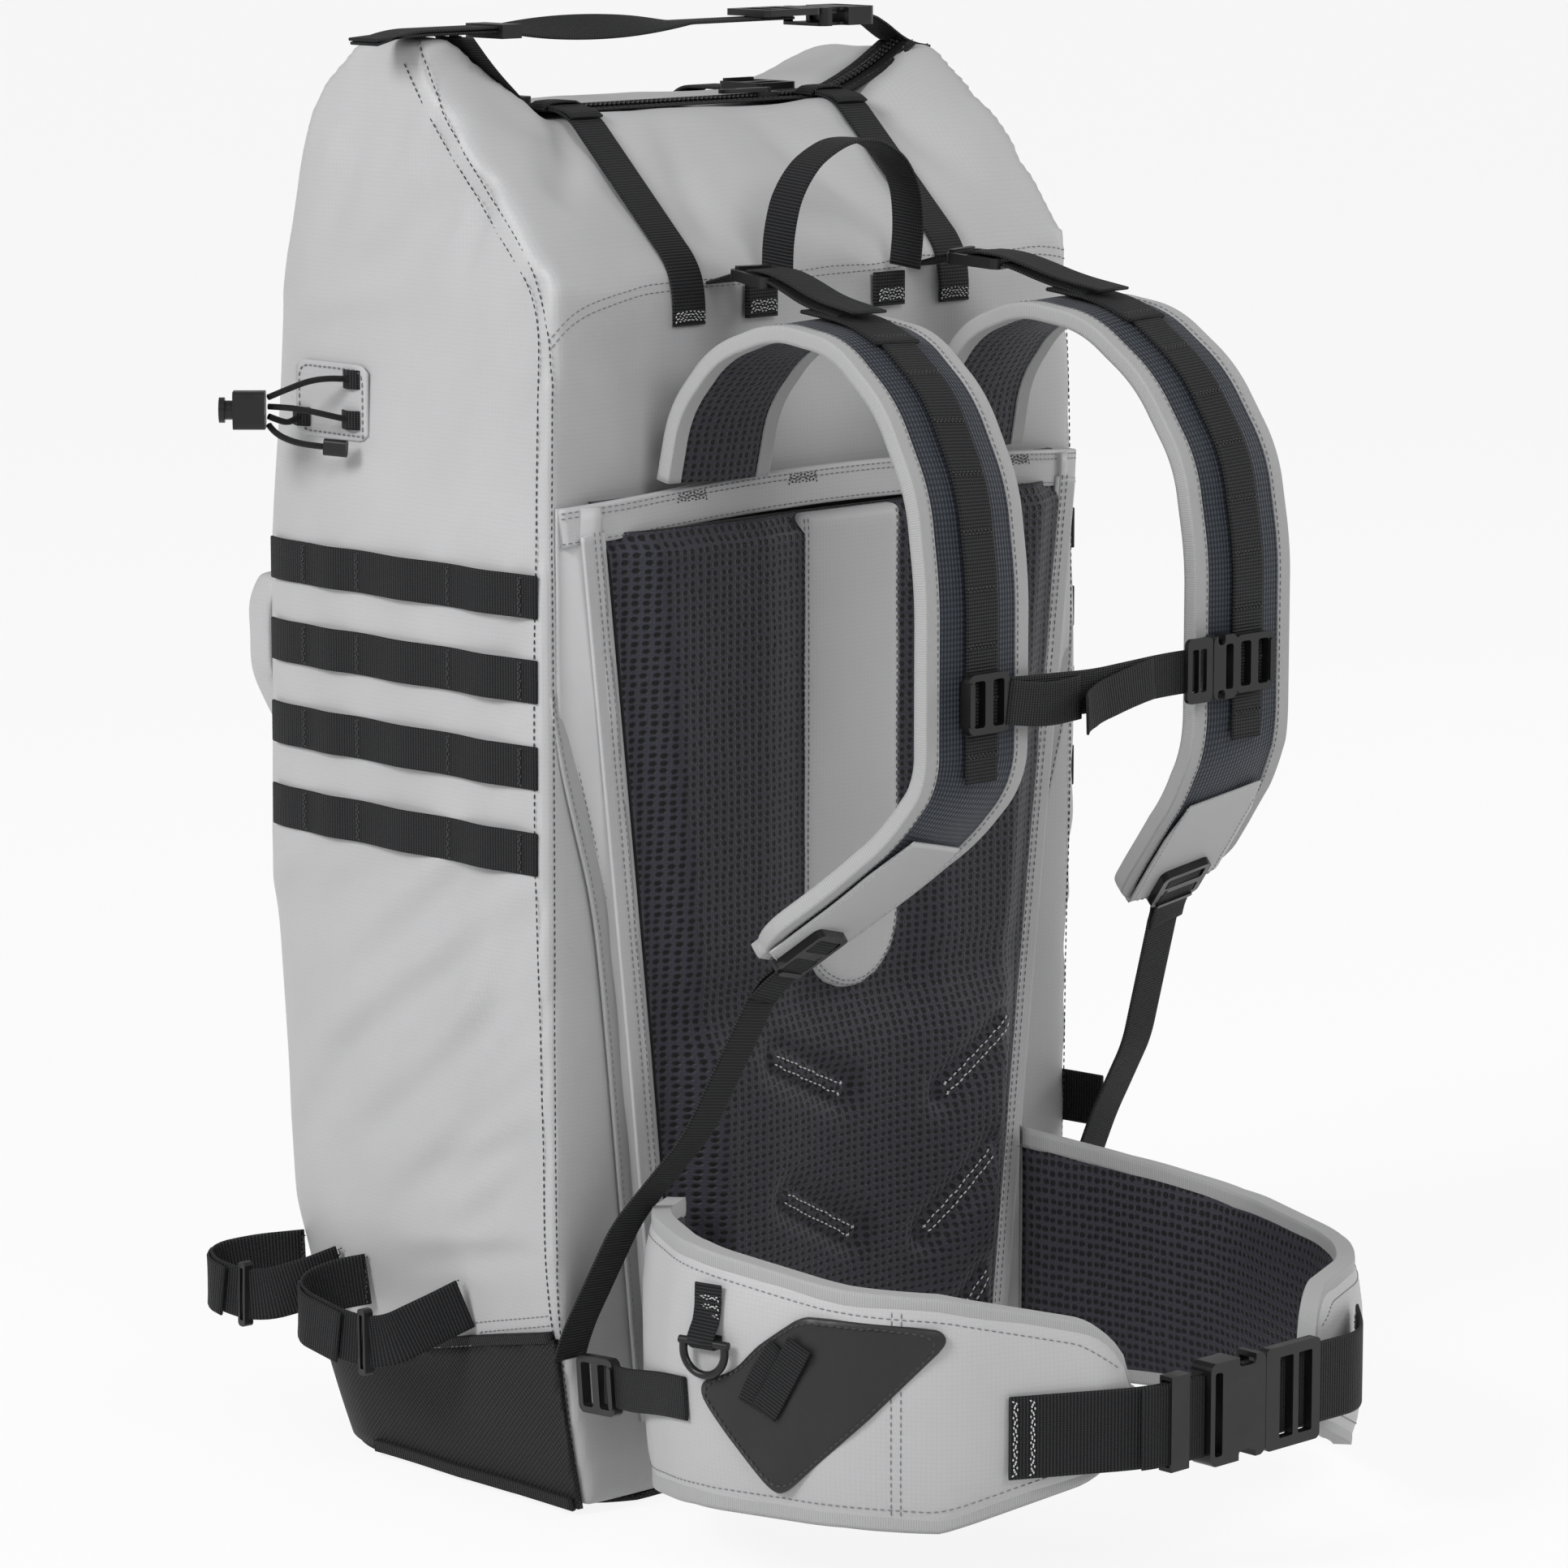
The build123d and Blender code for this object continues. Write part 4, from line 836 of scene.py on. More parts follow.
class PACK_OT_bag(bpy.types.Operator):
    """Bag shell, base boot and front pocket, with their seams"""
    bl_idname = "pack.bag"
    bl_label = "Bag"

    def execute(self, context):
        mesh = remeshed(cad_copy("main_bag"), 0.0042, 5)
        mesh = softened(shaped(mesh, bag_surface), 5)
        shell = add_piece("bag_shell", mesh, "ripstop", stands_for=["main_bag"])
        boot = cut_finer(cad_copy("base_boot"), 0.010)
        boot = shaped(boot, lambda spot, normal: normal * 0.0011 * noise.noise(spot * 22))
        boot.set_sharp_from_angle(angle=math.radians(40))
        base = add_piece("boot_shell", boot, "boot", stands_for=["base_boot"])

        def belly(spot, normal):
            bulge = 2.2 * noise.noise(Vector((spot.x * 9, spot.y * 20, spot.z * 16)))
            heart = Vector((max(abs(spot.x) - 0.123, 0) * (1 if spot.x > 0 else -1), spot.y - 0.085, 0))
            sink = 20.5 * (1 - smooth(0.325, 0.385, spot.z)) + 6 * smooth(0.405, 0.43, spot.z)
            fold = crease(Vector((spot.x, spot.z, 0)), Vector((-0.17, 0.40, 0)), Vector((0.02, 0.33, 0)), 0.012)
            return (normal * (bulge - 2.6 * fold) - heart.normalized() * sink) * MM

        pocket = shaped(swollen(remeshed(cad_copy("front_pocket", 0.003), 0.006, 6), 4, 0.005), belly)
        pocket = subdivided(pocket)
        front = add_piece("pocket_shell", pocket, "ripstop", stands_for=["front_pocket"])
        surface = surface_of(shell)
        rows = []
        for side in (-1, 1):
            line = [(side * -x, y, z) for x, y, z in CORNER_LINE]
            rows.append(laid(line, surface, 0.0012 if side < 0 else 0.0006, 0.006, 0.01, 30)[0])
            side_row = [(side * x, y, z) for x, y, z in ((175, -84, 6), (178, -84, 300), (177, -84, 447),
                                                         (171, -80, 575), (169, -52, 600), (168, -8, 645),
                                                         (168, 14, 674))]
            rows.append(laid(side_row, surface, 0.0006, 0.006, 0.01, 12)[0])
        stitches("corner_seams", rows, "dark_thread", size=0.0004)
        hem = [(x, 140, 416) for x in range(-140, 141, 20)]
        stitches("pocket_seam", [laid(hem, surface_of(front), 0.0003, 0.006)[0]], "thread")
        yoke = [laid([(x, y, z + shift) for x, y, z in YOKE_LINE], surface, 0.0002, 0.006)[0]
                for shift in (0, 4.5)]
        stitches("yoke_seam", yoke, "thread")
        hem = []
        for side in (-1, 1):
            for z_shift in (4, 9):
                line = [(side * 170, -80, 89 + z_shift), (side * 172, -20, 73 + z_shift),
                        (side * 172, 23, 63 + z_shift), (side * 168, 80, 56 + z_shift),
                        (side * 145, 118, 53 + z_shift)]
                hem.append(laid(line, surface_of(shell, base), 0.0002, 0.005)[0])
        stitches("boot_seam", hem, "thread")
        welts = []
        for side in (-1, 1):
            line = [(side * 172, -84, 88), (side * 175, -20, 73), (side * 175, 23, 62.5),
                    (side * 172, 80, 56.5), (side * 145, 120, 52)]
            welts.append(tape_mesh("welt", line, surface_of(shell), 5.0, 3.6, -0.3))
        add_piece("boot_edge", joined("boot_edge", welts), "webbing")
        floor = [(x * 156, y, 5.5) for x, y in ((-1, -84), (-1, 55), (-0.9, 88), (-0.6, 112), (0.6, 112),
                                                (0.9, 88), (1, 55), (1, -84))]
        add_piece("base_welt", tape_mesh("base_welt", floor, surface_of(base), 6.0, 2.4, -0.2), "webbing")
        stays = []
        slants = []
        for side in (-1, 1):
            line = [(side * gusset_edge(z), -92.6 + 3.0 * smooth(350, 392, z), z)
                    for z in (392, 375, 355, 335, 315, 295, 260, 220, 160, 60)]
            stays.append(strap_mesh("slant", line, (1, 0, 0), 11.0, 2.0, blend=0.02))
            for shift in (-3.6, 3.6):
                slants.append(soft_path([(x + shift, y - 1.2, z) for x, y, z in line], 0.004, 0.02))
        add_piece("side_tapes", joined("side_tapes", stays), "binding")
        stitches("side_tape_stitches", slants, "thread")
        tag = strap_mesh("tag", [(171.5, -84, 152), (173.5, -100, 152), (174.5, -112, 152)], (0, 0, 1), 26, 1.6)
        add_piece("side_tag", tag, "webbing")
        return {"FINISHED"}


class PACK_OT_top_zip(bpy.types.Operator):
    """Zip in the valley of the roof and up its ends"""
    bl_idname = "pack.top_zip"
    bl_label = "Top zip"

    def execute(self, context):
        line = [(-141, 10, 686.0), (-128, 10, 671.5), (-105, 10, 651.5), (-90, 10, 649.6), (90, 10, 649.6),
                (105, 10, 651.5), (130, 10, 661.5), (150, 10, 673.5)]
        tape = strap_mesh("zip_tape", line, (0, 1, 0), 27, 1.0, 0.3)
        add_piece("zip_tape", tape, "webbing", stands_for=["top_zip"])
        tree = tooth_tree()
        rows = []
        for shift in (-1.5, 1.5):
            path = soft_path([(x, y + shift, z + 1.7) for x, y, z in line], 0.003, 0.01)
            rows.append(path if shift < 0 else path[0:1] + [(a + b) / 2 for a, b in zip(path, path[1:])])
        repeat_along("zip_teeth", rows, tree, {"Pitch": 0.0030, "Width": 0.0024}, "plastic")
        edges = [[mm(x, y + shift, z + 1.1) for x, y, z in line] for shift in (-9.5, 9.5)]
        stitches("zip_stitches", edges, "dark_thread")
        return {"FINISHED"}


class PACK_OT_roof_straps(bpy.types.Operator):
    """Closure strap, the two straps over the roof and the grab handle"""
    bl_idname = "pack.roof_straps"
    bl_label = "Roof straps"

    def execute(self, context):
        top = 688.1

        def tilt(share):
            return 0, 1, 0.62 * math.sin(math.pi * min(max((share - 0.28) / 0.46, 0), 1))

        near = strap_mesh("near", [(-192, 15, top - 1.5), (-170, 15, top), (-146, 15, top), (-40, 15, top - 0.3),
                                   (74, 15, top)], tilt, 20, 1.5)
        tail = strap_mesh("tail", [(-191, 15, top - 3.4), (-170, 15, top + 1.7), (-112, 15, top + 1.8)],
                          (0, 1, 0), 20, 1.4)
        far = strap_mesh("far", [(125.3, 15, top), (138, 15, 684), (151, 15, 673.6), (168, 15, 671)],
                         (0, 1, 0), 20, 1.5)
        add_piece("closure_webbing", joined("closure_webbing", [near, tail, far]), "webbing",
                  stands_for=["closure_strap"])
        runs = []
        for side in (-1, 1):
            x = side * 87
            runs.append(strap_mesh("rise", [(x, -91.3, 556), (x, -91.3, 572), (x, -88, 583), (x, -16, 651.6),
                                            (x, 0, 651.4), (x, 30, 651.4)], (1, 0, 0), 20, 1.5))
            runs.append(strap_mesh("doubled", [(x, -22, 648.5), (x, -15, 652.6), (x, -4, 653.0), (x, 3, 653.0)],
                                   (1, 0, 0), 20, 1.4))
            runs.append(strap_mesh("drop", [(x, 60.2, 651.4), (x, 94, 651.4), (x, 111.5, 628.6), (x, 129, 585)],
                                   (1, 0, 0), 20, 1.5))
        add_piece("roof_webbing", joined("roof_webbing", runs), "webbing", stands_for=["compression_straps"])
        tacks = []
        for side in (-1, 1):
            for z in (559, 561.5):
                tacks.append(zigzag(mm(side * 87 - 9, -92.3, z), mm(side * 87 + 9, -92.3, z), mm(0, 0, 1.1), 7))
        keepers = []
        for side in (-1, 1):
            keepers.append(strap_mesh("keeper", [(side * 87 - 12.5, 0, 651.2), (side * 87 - 11.5, 0, 654.3),
                                                 (side * 87, 0, 655.0), (side * 87 + 11.5, 0, 654.3),
                                                 (side * 87 + 12.5, 0, 651.2)], (0, 1, 0), 12, 1.3, blend=0.004))
        add_piece("roof_keepers", joined("roof_keepers", keepers), "webbing", stands_for=["compression_keepers"])
        half = [(42, -103, 576), (43, -105, 600), (36, -107, 622), (18, -109, 636)]
        loop = half[::-1]
        handle = strap_mesh("handle", mirrored(half, -1) + [(0, -109.6, 639.5)] + loop, (0, 1, 0), 20, 1.7,
                            blend=0.012)
        add_piece("handle_webbing", handle, "webbing", body="handle", stands_for=["grab_handle"])
        ends = []
        for side in (-1, 1):
            ends.append(strap_mesh("end", [(side * 42, -92.4, 557), (side * 42, -92.4, 573)], (1, 0, 0), 20, 2.6))
            for z in (561, 564):
                tacks.append(zigzag(mm(side * 42 - 8, -94.4, z), mm(side * 42 + 8, -94.4, z), mm(0, 0, 1.2), 7))
        add_piece("handle_ends", joined("handle_ends", ends), "webbing", stands_for=["handle_tacks"])
        stitches("roof_tacks", tacks, "pale_thread", pitch=0.0016, size=0.00035)
        return {"FINISHED"}


# ---------------------------------------------------------------- the back
SLOTS = [((-57, 209), (-13, 188)), ((-50, 141), (-5, 117)), ((100, 206), (55, 178)), ((86, 141), (44, 110)),
         ((-40, 78), (4, 56)), ((84, 80), (60, 58))]


def mesh_rise(x, z):
    """How far the mesh face stands off the panel, in millimetres."""
    half = mesh_edge(z)
    edge = smooth(0, 26, half - abs(x))
    rise = 5.0 + 11.5 * edge
    rise *= 1 - 0.3 * (1 - smooth(30, 62, abs(x))) * smooth(200, 250, z)
    lumbar = smooth(250, 205, z)
    rise += lumbar * edge * (5.5 * smooth(15, 70, abs(x)) + 2.0)
    rise -= 4.0 * math.exp(-((z - 232) / 16) ** 2) * edge
    rise -= 6.0 * (1 - smooth(0, 10, 465 - z)) + 5.0 * (1 - smooth(0, 12, z - 44))
    place = Vector((x, z, 0))
    for a, b in SLOTS:
        distance, share = segment_distance(place, Vector((*a, 0)), Vector((*b, 0)))
        rise -= 5.0 * math.exp(-((max(distance - 4.5, 0)) / 7.0) ** 2) * edge
        rise += 2.4 * (1 - smooth(2.5, 5.2, distance))
    rise += 0.5 * noise.noise(Vector((x * 0.03, z * 0.03, 5)))
    return max(rise, 1.2)


def quilted_face():
    """The mesh-covered pads as one closed cushion, its face pulled in at its stitched slots."""
    bm = bmesh.new()
    uv = bm.loops.layers.uv.new("weave")
    rows = []
    across = 120
    levels = 176
    for i in range(levels + 1):
        z = mix(44.5, 465.5, i / levels)
        row = []
        for j in range(across + 1):
            x = mesh_edge(z) * (j / across * 2 - 1)
            row.append((bm.verts.new(mm(x, -98.6 - mesh_rise(x, z), z)), Vector((x, z)) * MM))
        rows.append(row)
    backs = [[(bm.verts.new(mm(spot.x / MM, -98.7, spot.y / MM)), spot) for _, spot in row] for row in rows]
    for grid in (rows, backs):
        for low, high in zip(grid, grid[1:]):
            for j in range(across):
                corners = (low[j], low[j + 1], high[j + 1], high[j])
                face = bm.faces.new([c[0] for c in corners])
                for loop, corner in zip(face.loops, corners):
                    loop[uv].uv = corner[1]
    rim = [(0, j) for j in range(across)] + [(i, across) for i in range(levels)]
    rim += [(levels, j) for j in range(across, 0, -1)] + [(i, 0) for i in range(levels, 0, -1)]
    for k, (i, j) in enumerate(rim):
        m, n = rim[(k + 1) % len(rim)]
        bm.faces.new([rows[i][j][0], rows[m][n][0], backs[m][n][0], backs[i][j][0]])
    bmesh.ops.recalc_face_normals(bm, faces=bm.faces)
    mesh = bpy.data.meshes.new("quilted")
    bm.to_mesh(mesh)
    bm.free()
    return mesh


def gusset(side):
    """Cloth from the mesh face's edge down to the bag, a closed thin wedge."""
    bm = bmesh.new()
    columns = 14
    rows = []
    for i in range(73):
        z = mix(40, 478, i / 72)
        inner = mesh_edge(min(z, 466)) + 2
        outer = gusset_edge(z) + 2
        row = []
        for j in range(columns + 1):
            share = j / columns
            y = -101.6 + 10.2 * smooth(0.1, 1.0, share) - 0.8 * noise.noise(Vector((side * share * 2, z * 0.03, 2)))
            row.append(bm.verts.new(mm(side * mix(inner, outer, share), y, z)))
        for x in (outer, inner):
            row.append(bm.verts.new(mm(side * x, -90.4, z)))
        rows.append(row)
    size = columns + 3
    for low, high in zip(rows, rows[1:]):
        for j in range(size):
            k = (j + 1) % size
            bm.faces.new([low[j], low[k], high[k], high[j]])
    bm.faces.new(rows[0])
    bm.faces.new(rows[-1])
    bmesh.ops.recalc_face_normals(bm, faces=bm.faces)
    mesh = bpy.data.meshes.new("gusset")
    bm.to_mesh(mesh)
    bm.free()
    return mesh


class PACK_OT_back_panel(bpy.types.Operator):
    """Back panel, its mesh pads, centre strip, lumbar pad and top binding"""
    bl_idname = "pack.back_panel"
    bl_label = "Back panel"

    def execute(self, context):
        panel = remeshed(cad_copy("back_panel"), 0.004, 2)
        add_piece("panel_cloth", panel, "mesh", stands_for=["back_panel"])
        piece = add_piece("quilted_mesh", quilted_face(), "mesh",
                          stands_for=["back_pad_left", "back_pad_right", "lumbar_pad"])
        face = surface_of(piece)
        rows = []
        for a, b in SLOTS:
            run = (Vector((*b, 0)) - Vector((*a, 0))).normalized()
            out = Vector((-run.y, run.x, 0)) * 3.6
            for turn in (1, -1):
                ends = [Vector((*a, 0)) + out * turn, Vector((*b, 0)) + out * turn]
                rows.append(laid([(p.x, -124, p.y) for p in ends], face, 0.0004, 0.003)[0])
            rows.append(laid([(p.x, -124, p.y) for p in (Vector((*b, 0)) + out, Vector((*b, 0)) - out)], face,
                             0.0004, 0.002)[0])
        stitches("lumbar_stitches", rows, "pale_thread", pitch=0.0034, size=0.00042)
        hems = []
        rows = []
        for side in (-1, 1):
            line = [(side * (mesh_edge(z) + 6.5), -100.4, z) for z in range(46, 467, 30)]
            hems.append(strap_mesh("hem", line, (1, 0, 0), 14, 2.0, blend=0.03))
            for shift in (1.4, 4.6):
                rows.append([mm(x + side * (shift - 4.5), y - 1.5, z) for x, y, z in line])
            hems.append(gusset(side))
        add_piece("mesh_hems", joined("hems", hems), "ripstop")
        stitches("hem_stitches", rows, "thread")

        strip = shaped(subdivided(remeshed(cad_copy("centre_strip", 0.0006), 0.004, 3)),
                       lambda spot, normal: Vector((0, -0.0014 * (1 - (spot.x / 0.034) ** 2)
                                                    + 0.0006 * noise.noise(spot * 25), 0)))
        body = add_piece("centre_strip_cloth", strip, "ripstop", stands_for=["centre_strip"])
        edge = [(-31.5, -111, 462), (-31.5, -111, 268)]
        edge += [(-31.5 * math.cos(math.pi * i / 12), -111, 268 - 31.5 * math.sin(math.pi * i / 12))
                 for i in range(1, 12)]
        edge += [(31.5, -111, 268), (31.5, -111, 462)]
        inner = [(x * 0.93, y, z + (1.6 if z < 268 else 0)) for x, y, z in edge]
        stitches("strip_stitches", [laid(edge, surface_of(body), 0.0003)[0],
                                    laid(inner, surface_of(body), 0.0003)[0]], "thread")

        def sag(share):
            return -8.0 * (2 * share - 1) ** 2 + 3.5

        tops = []
        count = 20
        for i in range(count + 1):
            share = i / count
            x = (share * 2 - 1) * 169
            tops.append((x, -101.6 + 9.0 * smooth(138, 169, abs(x)), 473.5 + sag(share)))
        band = strap_mesh("band", tops, (0, 0, 1), 18, 4.2, blend=0.02)
        add_piece("panel_top_binding", band, "ripstop", stands_for=["panel_binding"])
        rows = []
        for shift in (-7, 7, 4.6):
            rows.append([mm(x, y - 2.3, z + shift) for x, y, z in tops])
        stitches("binding_stitches", [soft_path([tuple(p / MM) for p in row]) for row in rows], "thread")
        marks = []
        for x in (-97, -26, 52, 118):
            z = 473.5 + sag((x / 169 + 1) / 2)
            marks.append(zigzag(mm(x - 9, -103.9, z + 4.5), mm(x + 9, -103.9, z + 4.5), mm(0, 0, 2.2), 8))
        stitches("binding_tacks", marks, "dark_thread", pitch=0.0016, size=0.00035)
        return {"FINISHED"}


# ---------------------------------------------------------------- shoulder harness
SHOULDER_PATH = [(85, -105, 486.4), (84, -112, 520), (82, -136, 548), (80, -172, 561), (81, -212, 556),
                 (84, -245, 532), (87, -268, 495), (88, -275, 452), (88, -275, 366), (96, -258, 340),
                 (108, -232, 315), (127, -196, 283)]
SIDE_NAMES = ((-1, "left"), (1, "right"))


def tip_ease(share):
    """A strip's width share, rounded off at its very end."""
    return math.sqrt(max(1 - max(share - 0.955, 0) ** 2 / 0.045 ** 2 * 0.62, 0.05))


def along_edge(points, across, reach, off):
    """The path of a strip's edge: moved across and up from its middle path, in millimetres."""
    path = soft_path(points, 0.003, 0.014)
    frames = path_frames(path, across)
    total = len(path) - 1
    spots = []
    for i, (spot, (side, up)) in enumerate(zip(path, frames)):
        width = reach * tip_ease(i / total)
        spots.append(spot + side * width * MM + up * off * MM)
    return spots, frames


PATHS = {}


def soft_cache(points):
    """Smoothed path through the points, worked out once."""
    key = tuple(points)
    if key not in PATHS:
        PATHS[key] = soft_path(points, 0.003, 0.014)
    return PATHS[key]


class PACK_OT_shoulder_straps(bpy.types.Operator):
    """Padded shoulder straps with binding, face webbing, tip patches, adjusters and load lifters"""
    bl_idname = "pack.shoulder_straps"
    bl_label = "Shoulder straps"

    def execute(self, context):
        for side, name in SIDE_NAMES:
            path = mirrored(SHOULDER_PATH, side)
            pad = strap_mesh("pad", path, (1, 0, 0), 58, 9.6, crown=0.2, edge=5.0, blend=0.014, ease=tip_ease)
            frames_up = path_frames(soft_path(path, 0.003, 0.014), (1, 0, 0))
            for face in pad.polygons:
                middle = face.center
                nearest = min(range(0, len(frames_up), 4),
                              key=lambda i: (soft_cache(path)[i] - middle).length_squared)
                face.material_index = 0 if face.normal.dot(frames_up[nearest][1]) > -0.05 else 1
            piece = add_piece("shoulder_foam_" + name, pad, "knit", stands_for=["shoulder_pad_" + name])
            piece.data.materials.append(MATERIALS["mesh"])
            edges = []
            rows = []
            for reach in (-28.2, 28.2):
                spots, frames = along_edge(path, (1, 0, 0), reach, 0)
                edges.append(swept_mesh("edge", spots, frames, lambda i, s: section(0.0085, 0.0078)))
                inner, _ = along_edge(path, (1, 0, 0), reach * 0.895, 4.15)
                rows.append(inner)
            spots, frames = along_edge(path, (1, 0, 0), 0, 0)
            end_path = [spots[-1] + frames[-1][0] * x * MM for x in (-22, -12, 0, 12, 22)]
            end_frames = [(-(spots[-1] - spots[-3]).normalized(), frames[-1][1])] * 5
            edges.append(swept_mesh("end", end_path, end_frames, lambda i, s: section(0.008, 0.0076)))
            add_piece("shoulder_binding_" + name, joined("binding", edges), "binding")
            ladder = strap_mesh("ladder", path[3:9], (1, 0, 0), 20, 1.5, 6.3, blend=0.014)
            add_piece("shoulder_ladder_" + name, ladder, "webbing", stands_for=["shoulder_webbing_" + name])
            bars = []
            middle, frames = along_edge(path[3:9], (1, 0, 0), 0, 7.3)
            for i in range(6, len(middle) - 4, 8):
                across = frames[i][0] * 9 * MM
                bars.append(zigzag(middle[i] - across, middle[i] + across,
                                   (middle[i + 1] - middle[i]).normalized() * 0.0006, 8))
            stitches("shoulder_stitches_" + name, rows, "thread")
            stitches("ladder_tacks_" + name, bars, "dark_thread", pitch=0.0016, size=0.0004)
            patch = strap_mesh("patch", path[9:], (1, 0, 0), 50, 1.2, 5.7, blend=0.014,
                               ease=lambda s: min(1.0, 0.82 + s * 0.6) * tip_ease(s))
            add_piece("tip_patch_" + name, patch, "ripstop")
            rows = []
            for reach in (-22.5, 22.5):
                rows.append(along_edge(path[9:], (1, 0, 0), reach, 6.5)[0])
            stitches("tip_stitches_" + name, rows, "pale_thread")
            flap = strap_mesh("flap", mirrored([(80, -171, 567.7), (80.5, -200, 564.9), (82, -222, 556.5)], side),
                              (1, 0, 0), 26, 1.8, 0.4)
            add_piece("lifter_patch_" + name, flap, "webbing")
            tip = mm(*path[-1])
            run = (tip - mm(*path[-2])).normalized()
            face_up = run.cross((Vector((1, 0, 0)) - run * run.x).normalized()).normalized()
            lock = tip - run * 10 * MM + face_up * 7.8 * MM
            end = (lock + run * 15.6 * MM) / MM
            further = (lock + run * 23.6 * MM) / MM
            adjuster = strap_mesh("adjuster", [tuple(end), tuple(further), (side * 147, -160, 195),
                                               (side * 160, -126, 150), (side * 166, -97, 93),
                                               (side * 166, -92.4, 80)], (1, 0, 0), 20, 1.5)
            tongue = strap_mesh("tongue", [tuple((lock - run * 14 * MM) / MM), tuple((lock + face_up * 0.0026) / MM),
                                           tuple((lock + run * 14.5 * MM + face_up * 0.001) / MM),
                                           tuple((lock + run * 32 * MM + face_up * 0.0052) / MM)],
                                (1, 0, 0), 20, 1.4)
            add_piece("adjuster_webbing_" + name, joined("adjuster", [adjuster, tongue]), "webbing",
                      stands_for=["adjuster_strap_" + name])
            lifter = strap_mesh("lifter", mirrored([(80.4, -192, 566.9), (79.6, -170, 570.2),
                                                    (75.3, -144.8, 578.2), (72, -129, 581.2)], side),
                                (1, 0, 0), 20, 1.5)
            anchor = strap_mesh("anchor", mirrored([(67.3, -111.6, 580.6), (66, -90.7, 574.9)], side),
                                (1, 0, 0), 19, 1.5)
            tail = strap_mesh("tail", mirrored([(70.5, -124, 582.6), (73, -136, 583.6), (75, -150, 580.8),
                                                (79, -176, 573.2), (80.5, -203, 569.2)], side), (1, 0, 0), 20, 1.4)
            add_piece("lifter_webbing_" + name, joined("lifter", [lifter, anchor, tail]), "webbing",
                      stands_for=["lifter_strap_" + name])
        return {"FINISHED"}


class PACK_OT_sternum_strap(bpy.types.Operator):
    """Sternum webbing with its doubled tail"""
    bl_idname = "pack.sternum_strap"
    bl_label = "Sternum strap"

    def execute(self, context):
        y = -284.2
        main = strap_mesh("main", [(-74.4, y, 402), (-20, y - 1, 400), (28, y, 402), (51, y, 402)], (0, 0, 1),
                          20, 1.5)
        fold = strap_mesh("fold", [(-76, y - 1.9, 401), (-52, y - 3.4, 397.5), (-30, y - 2.6, 398.5)], (0, 0, 1),
                          20, 1.3)
        back = strap_mesh("back", [(20, y - 1.2, 401.5), (6, y - 2.6, 400), (-24, y - 4, 394), (-31, y - 8, 392),
                                   (-33, y - 10, 391)], (0, 0, 1), 19, 1.3)
        add_piece("sternum_webbing", joined("sternum", [main, fold, back]), "webbing", body="sternum",
                  stands_for=["sternum_strap"])
        return {"FINISHED"}


# ---------------------------------------------------------------- hip belt
WING_PLAN = [(116, -112), (160, -146), (184, -198), (166, -275), (138, -306), (60, -348)]
WING_TOP = {"left": (150, 157, 155, 145, 142, 122), "right": (146, 130, 118, 112, 112, 118)}
WING_LOW = {"left": (26, 30, 38, 40, 38, 62), "right": (26, 20, 16, 16, 24, 58)}


def wing_lines(side, name, step=0.004):
    """The wing's middle path, its half height and outward direction at each point."""
    plan = [(side * x, y, 0) for x, y in WING_PLAN]
    path = soft_path(plan, step, 0.018)
    lengths = [0.0]
    for a, b in zip(plan, plan[1:]):
        lengths.append(lengths[-1] + (mm(*b) - mm(*a)).length)
    rows = []
    travelled = 0.0
    total = sum((b - a).length for a, b in zip(path, path[1:]))
    for i, spot in enumerate(path):
        if i:
            travelled += (spot - path[i - 1]).length
        place = travelled / total * lengths[-1]
        k = max(j for j in range(len(lengths) - 1) if lengths[j] <= place + 1e-9)
        share = (place - lengths[k]) / (lengths[k + 1] - lengths[k])
        top = mix(WING_TOP[name][k], WING_TOP[name][k + 1], share)
        low = mix(WING_LOW[name][k], WING_LOW[name][k + 1], share)
        run = (path[min(i + 1, len(path) - 1)] - path[max(i - 1, 0)]).normalized()
        out = run.cross(Vector((0, 0, 1))) * (1 if side < 0 else -1)
        left_over = (total - travelled) / MM
        if left_over < 26:
            inset = 26 - math.sqrt(max(26 ** 2 - (26 - left_over) ** 2, 0))
            top -= inset
            low += inset
        rows.append((spot, top * MM, low * MM, out.normalized(), run, travelled / total))
    return rows


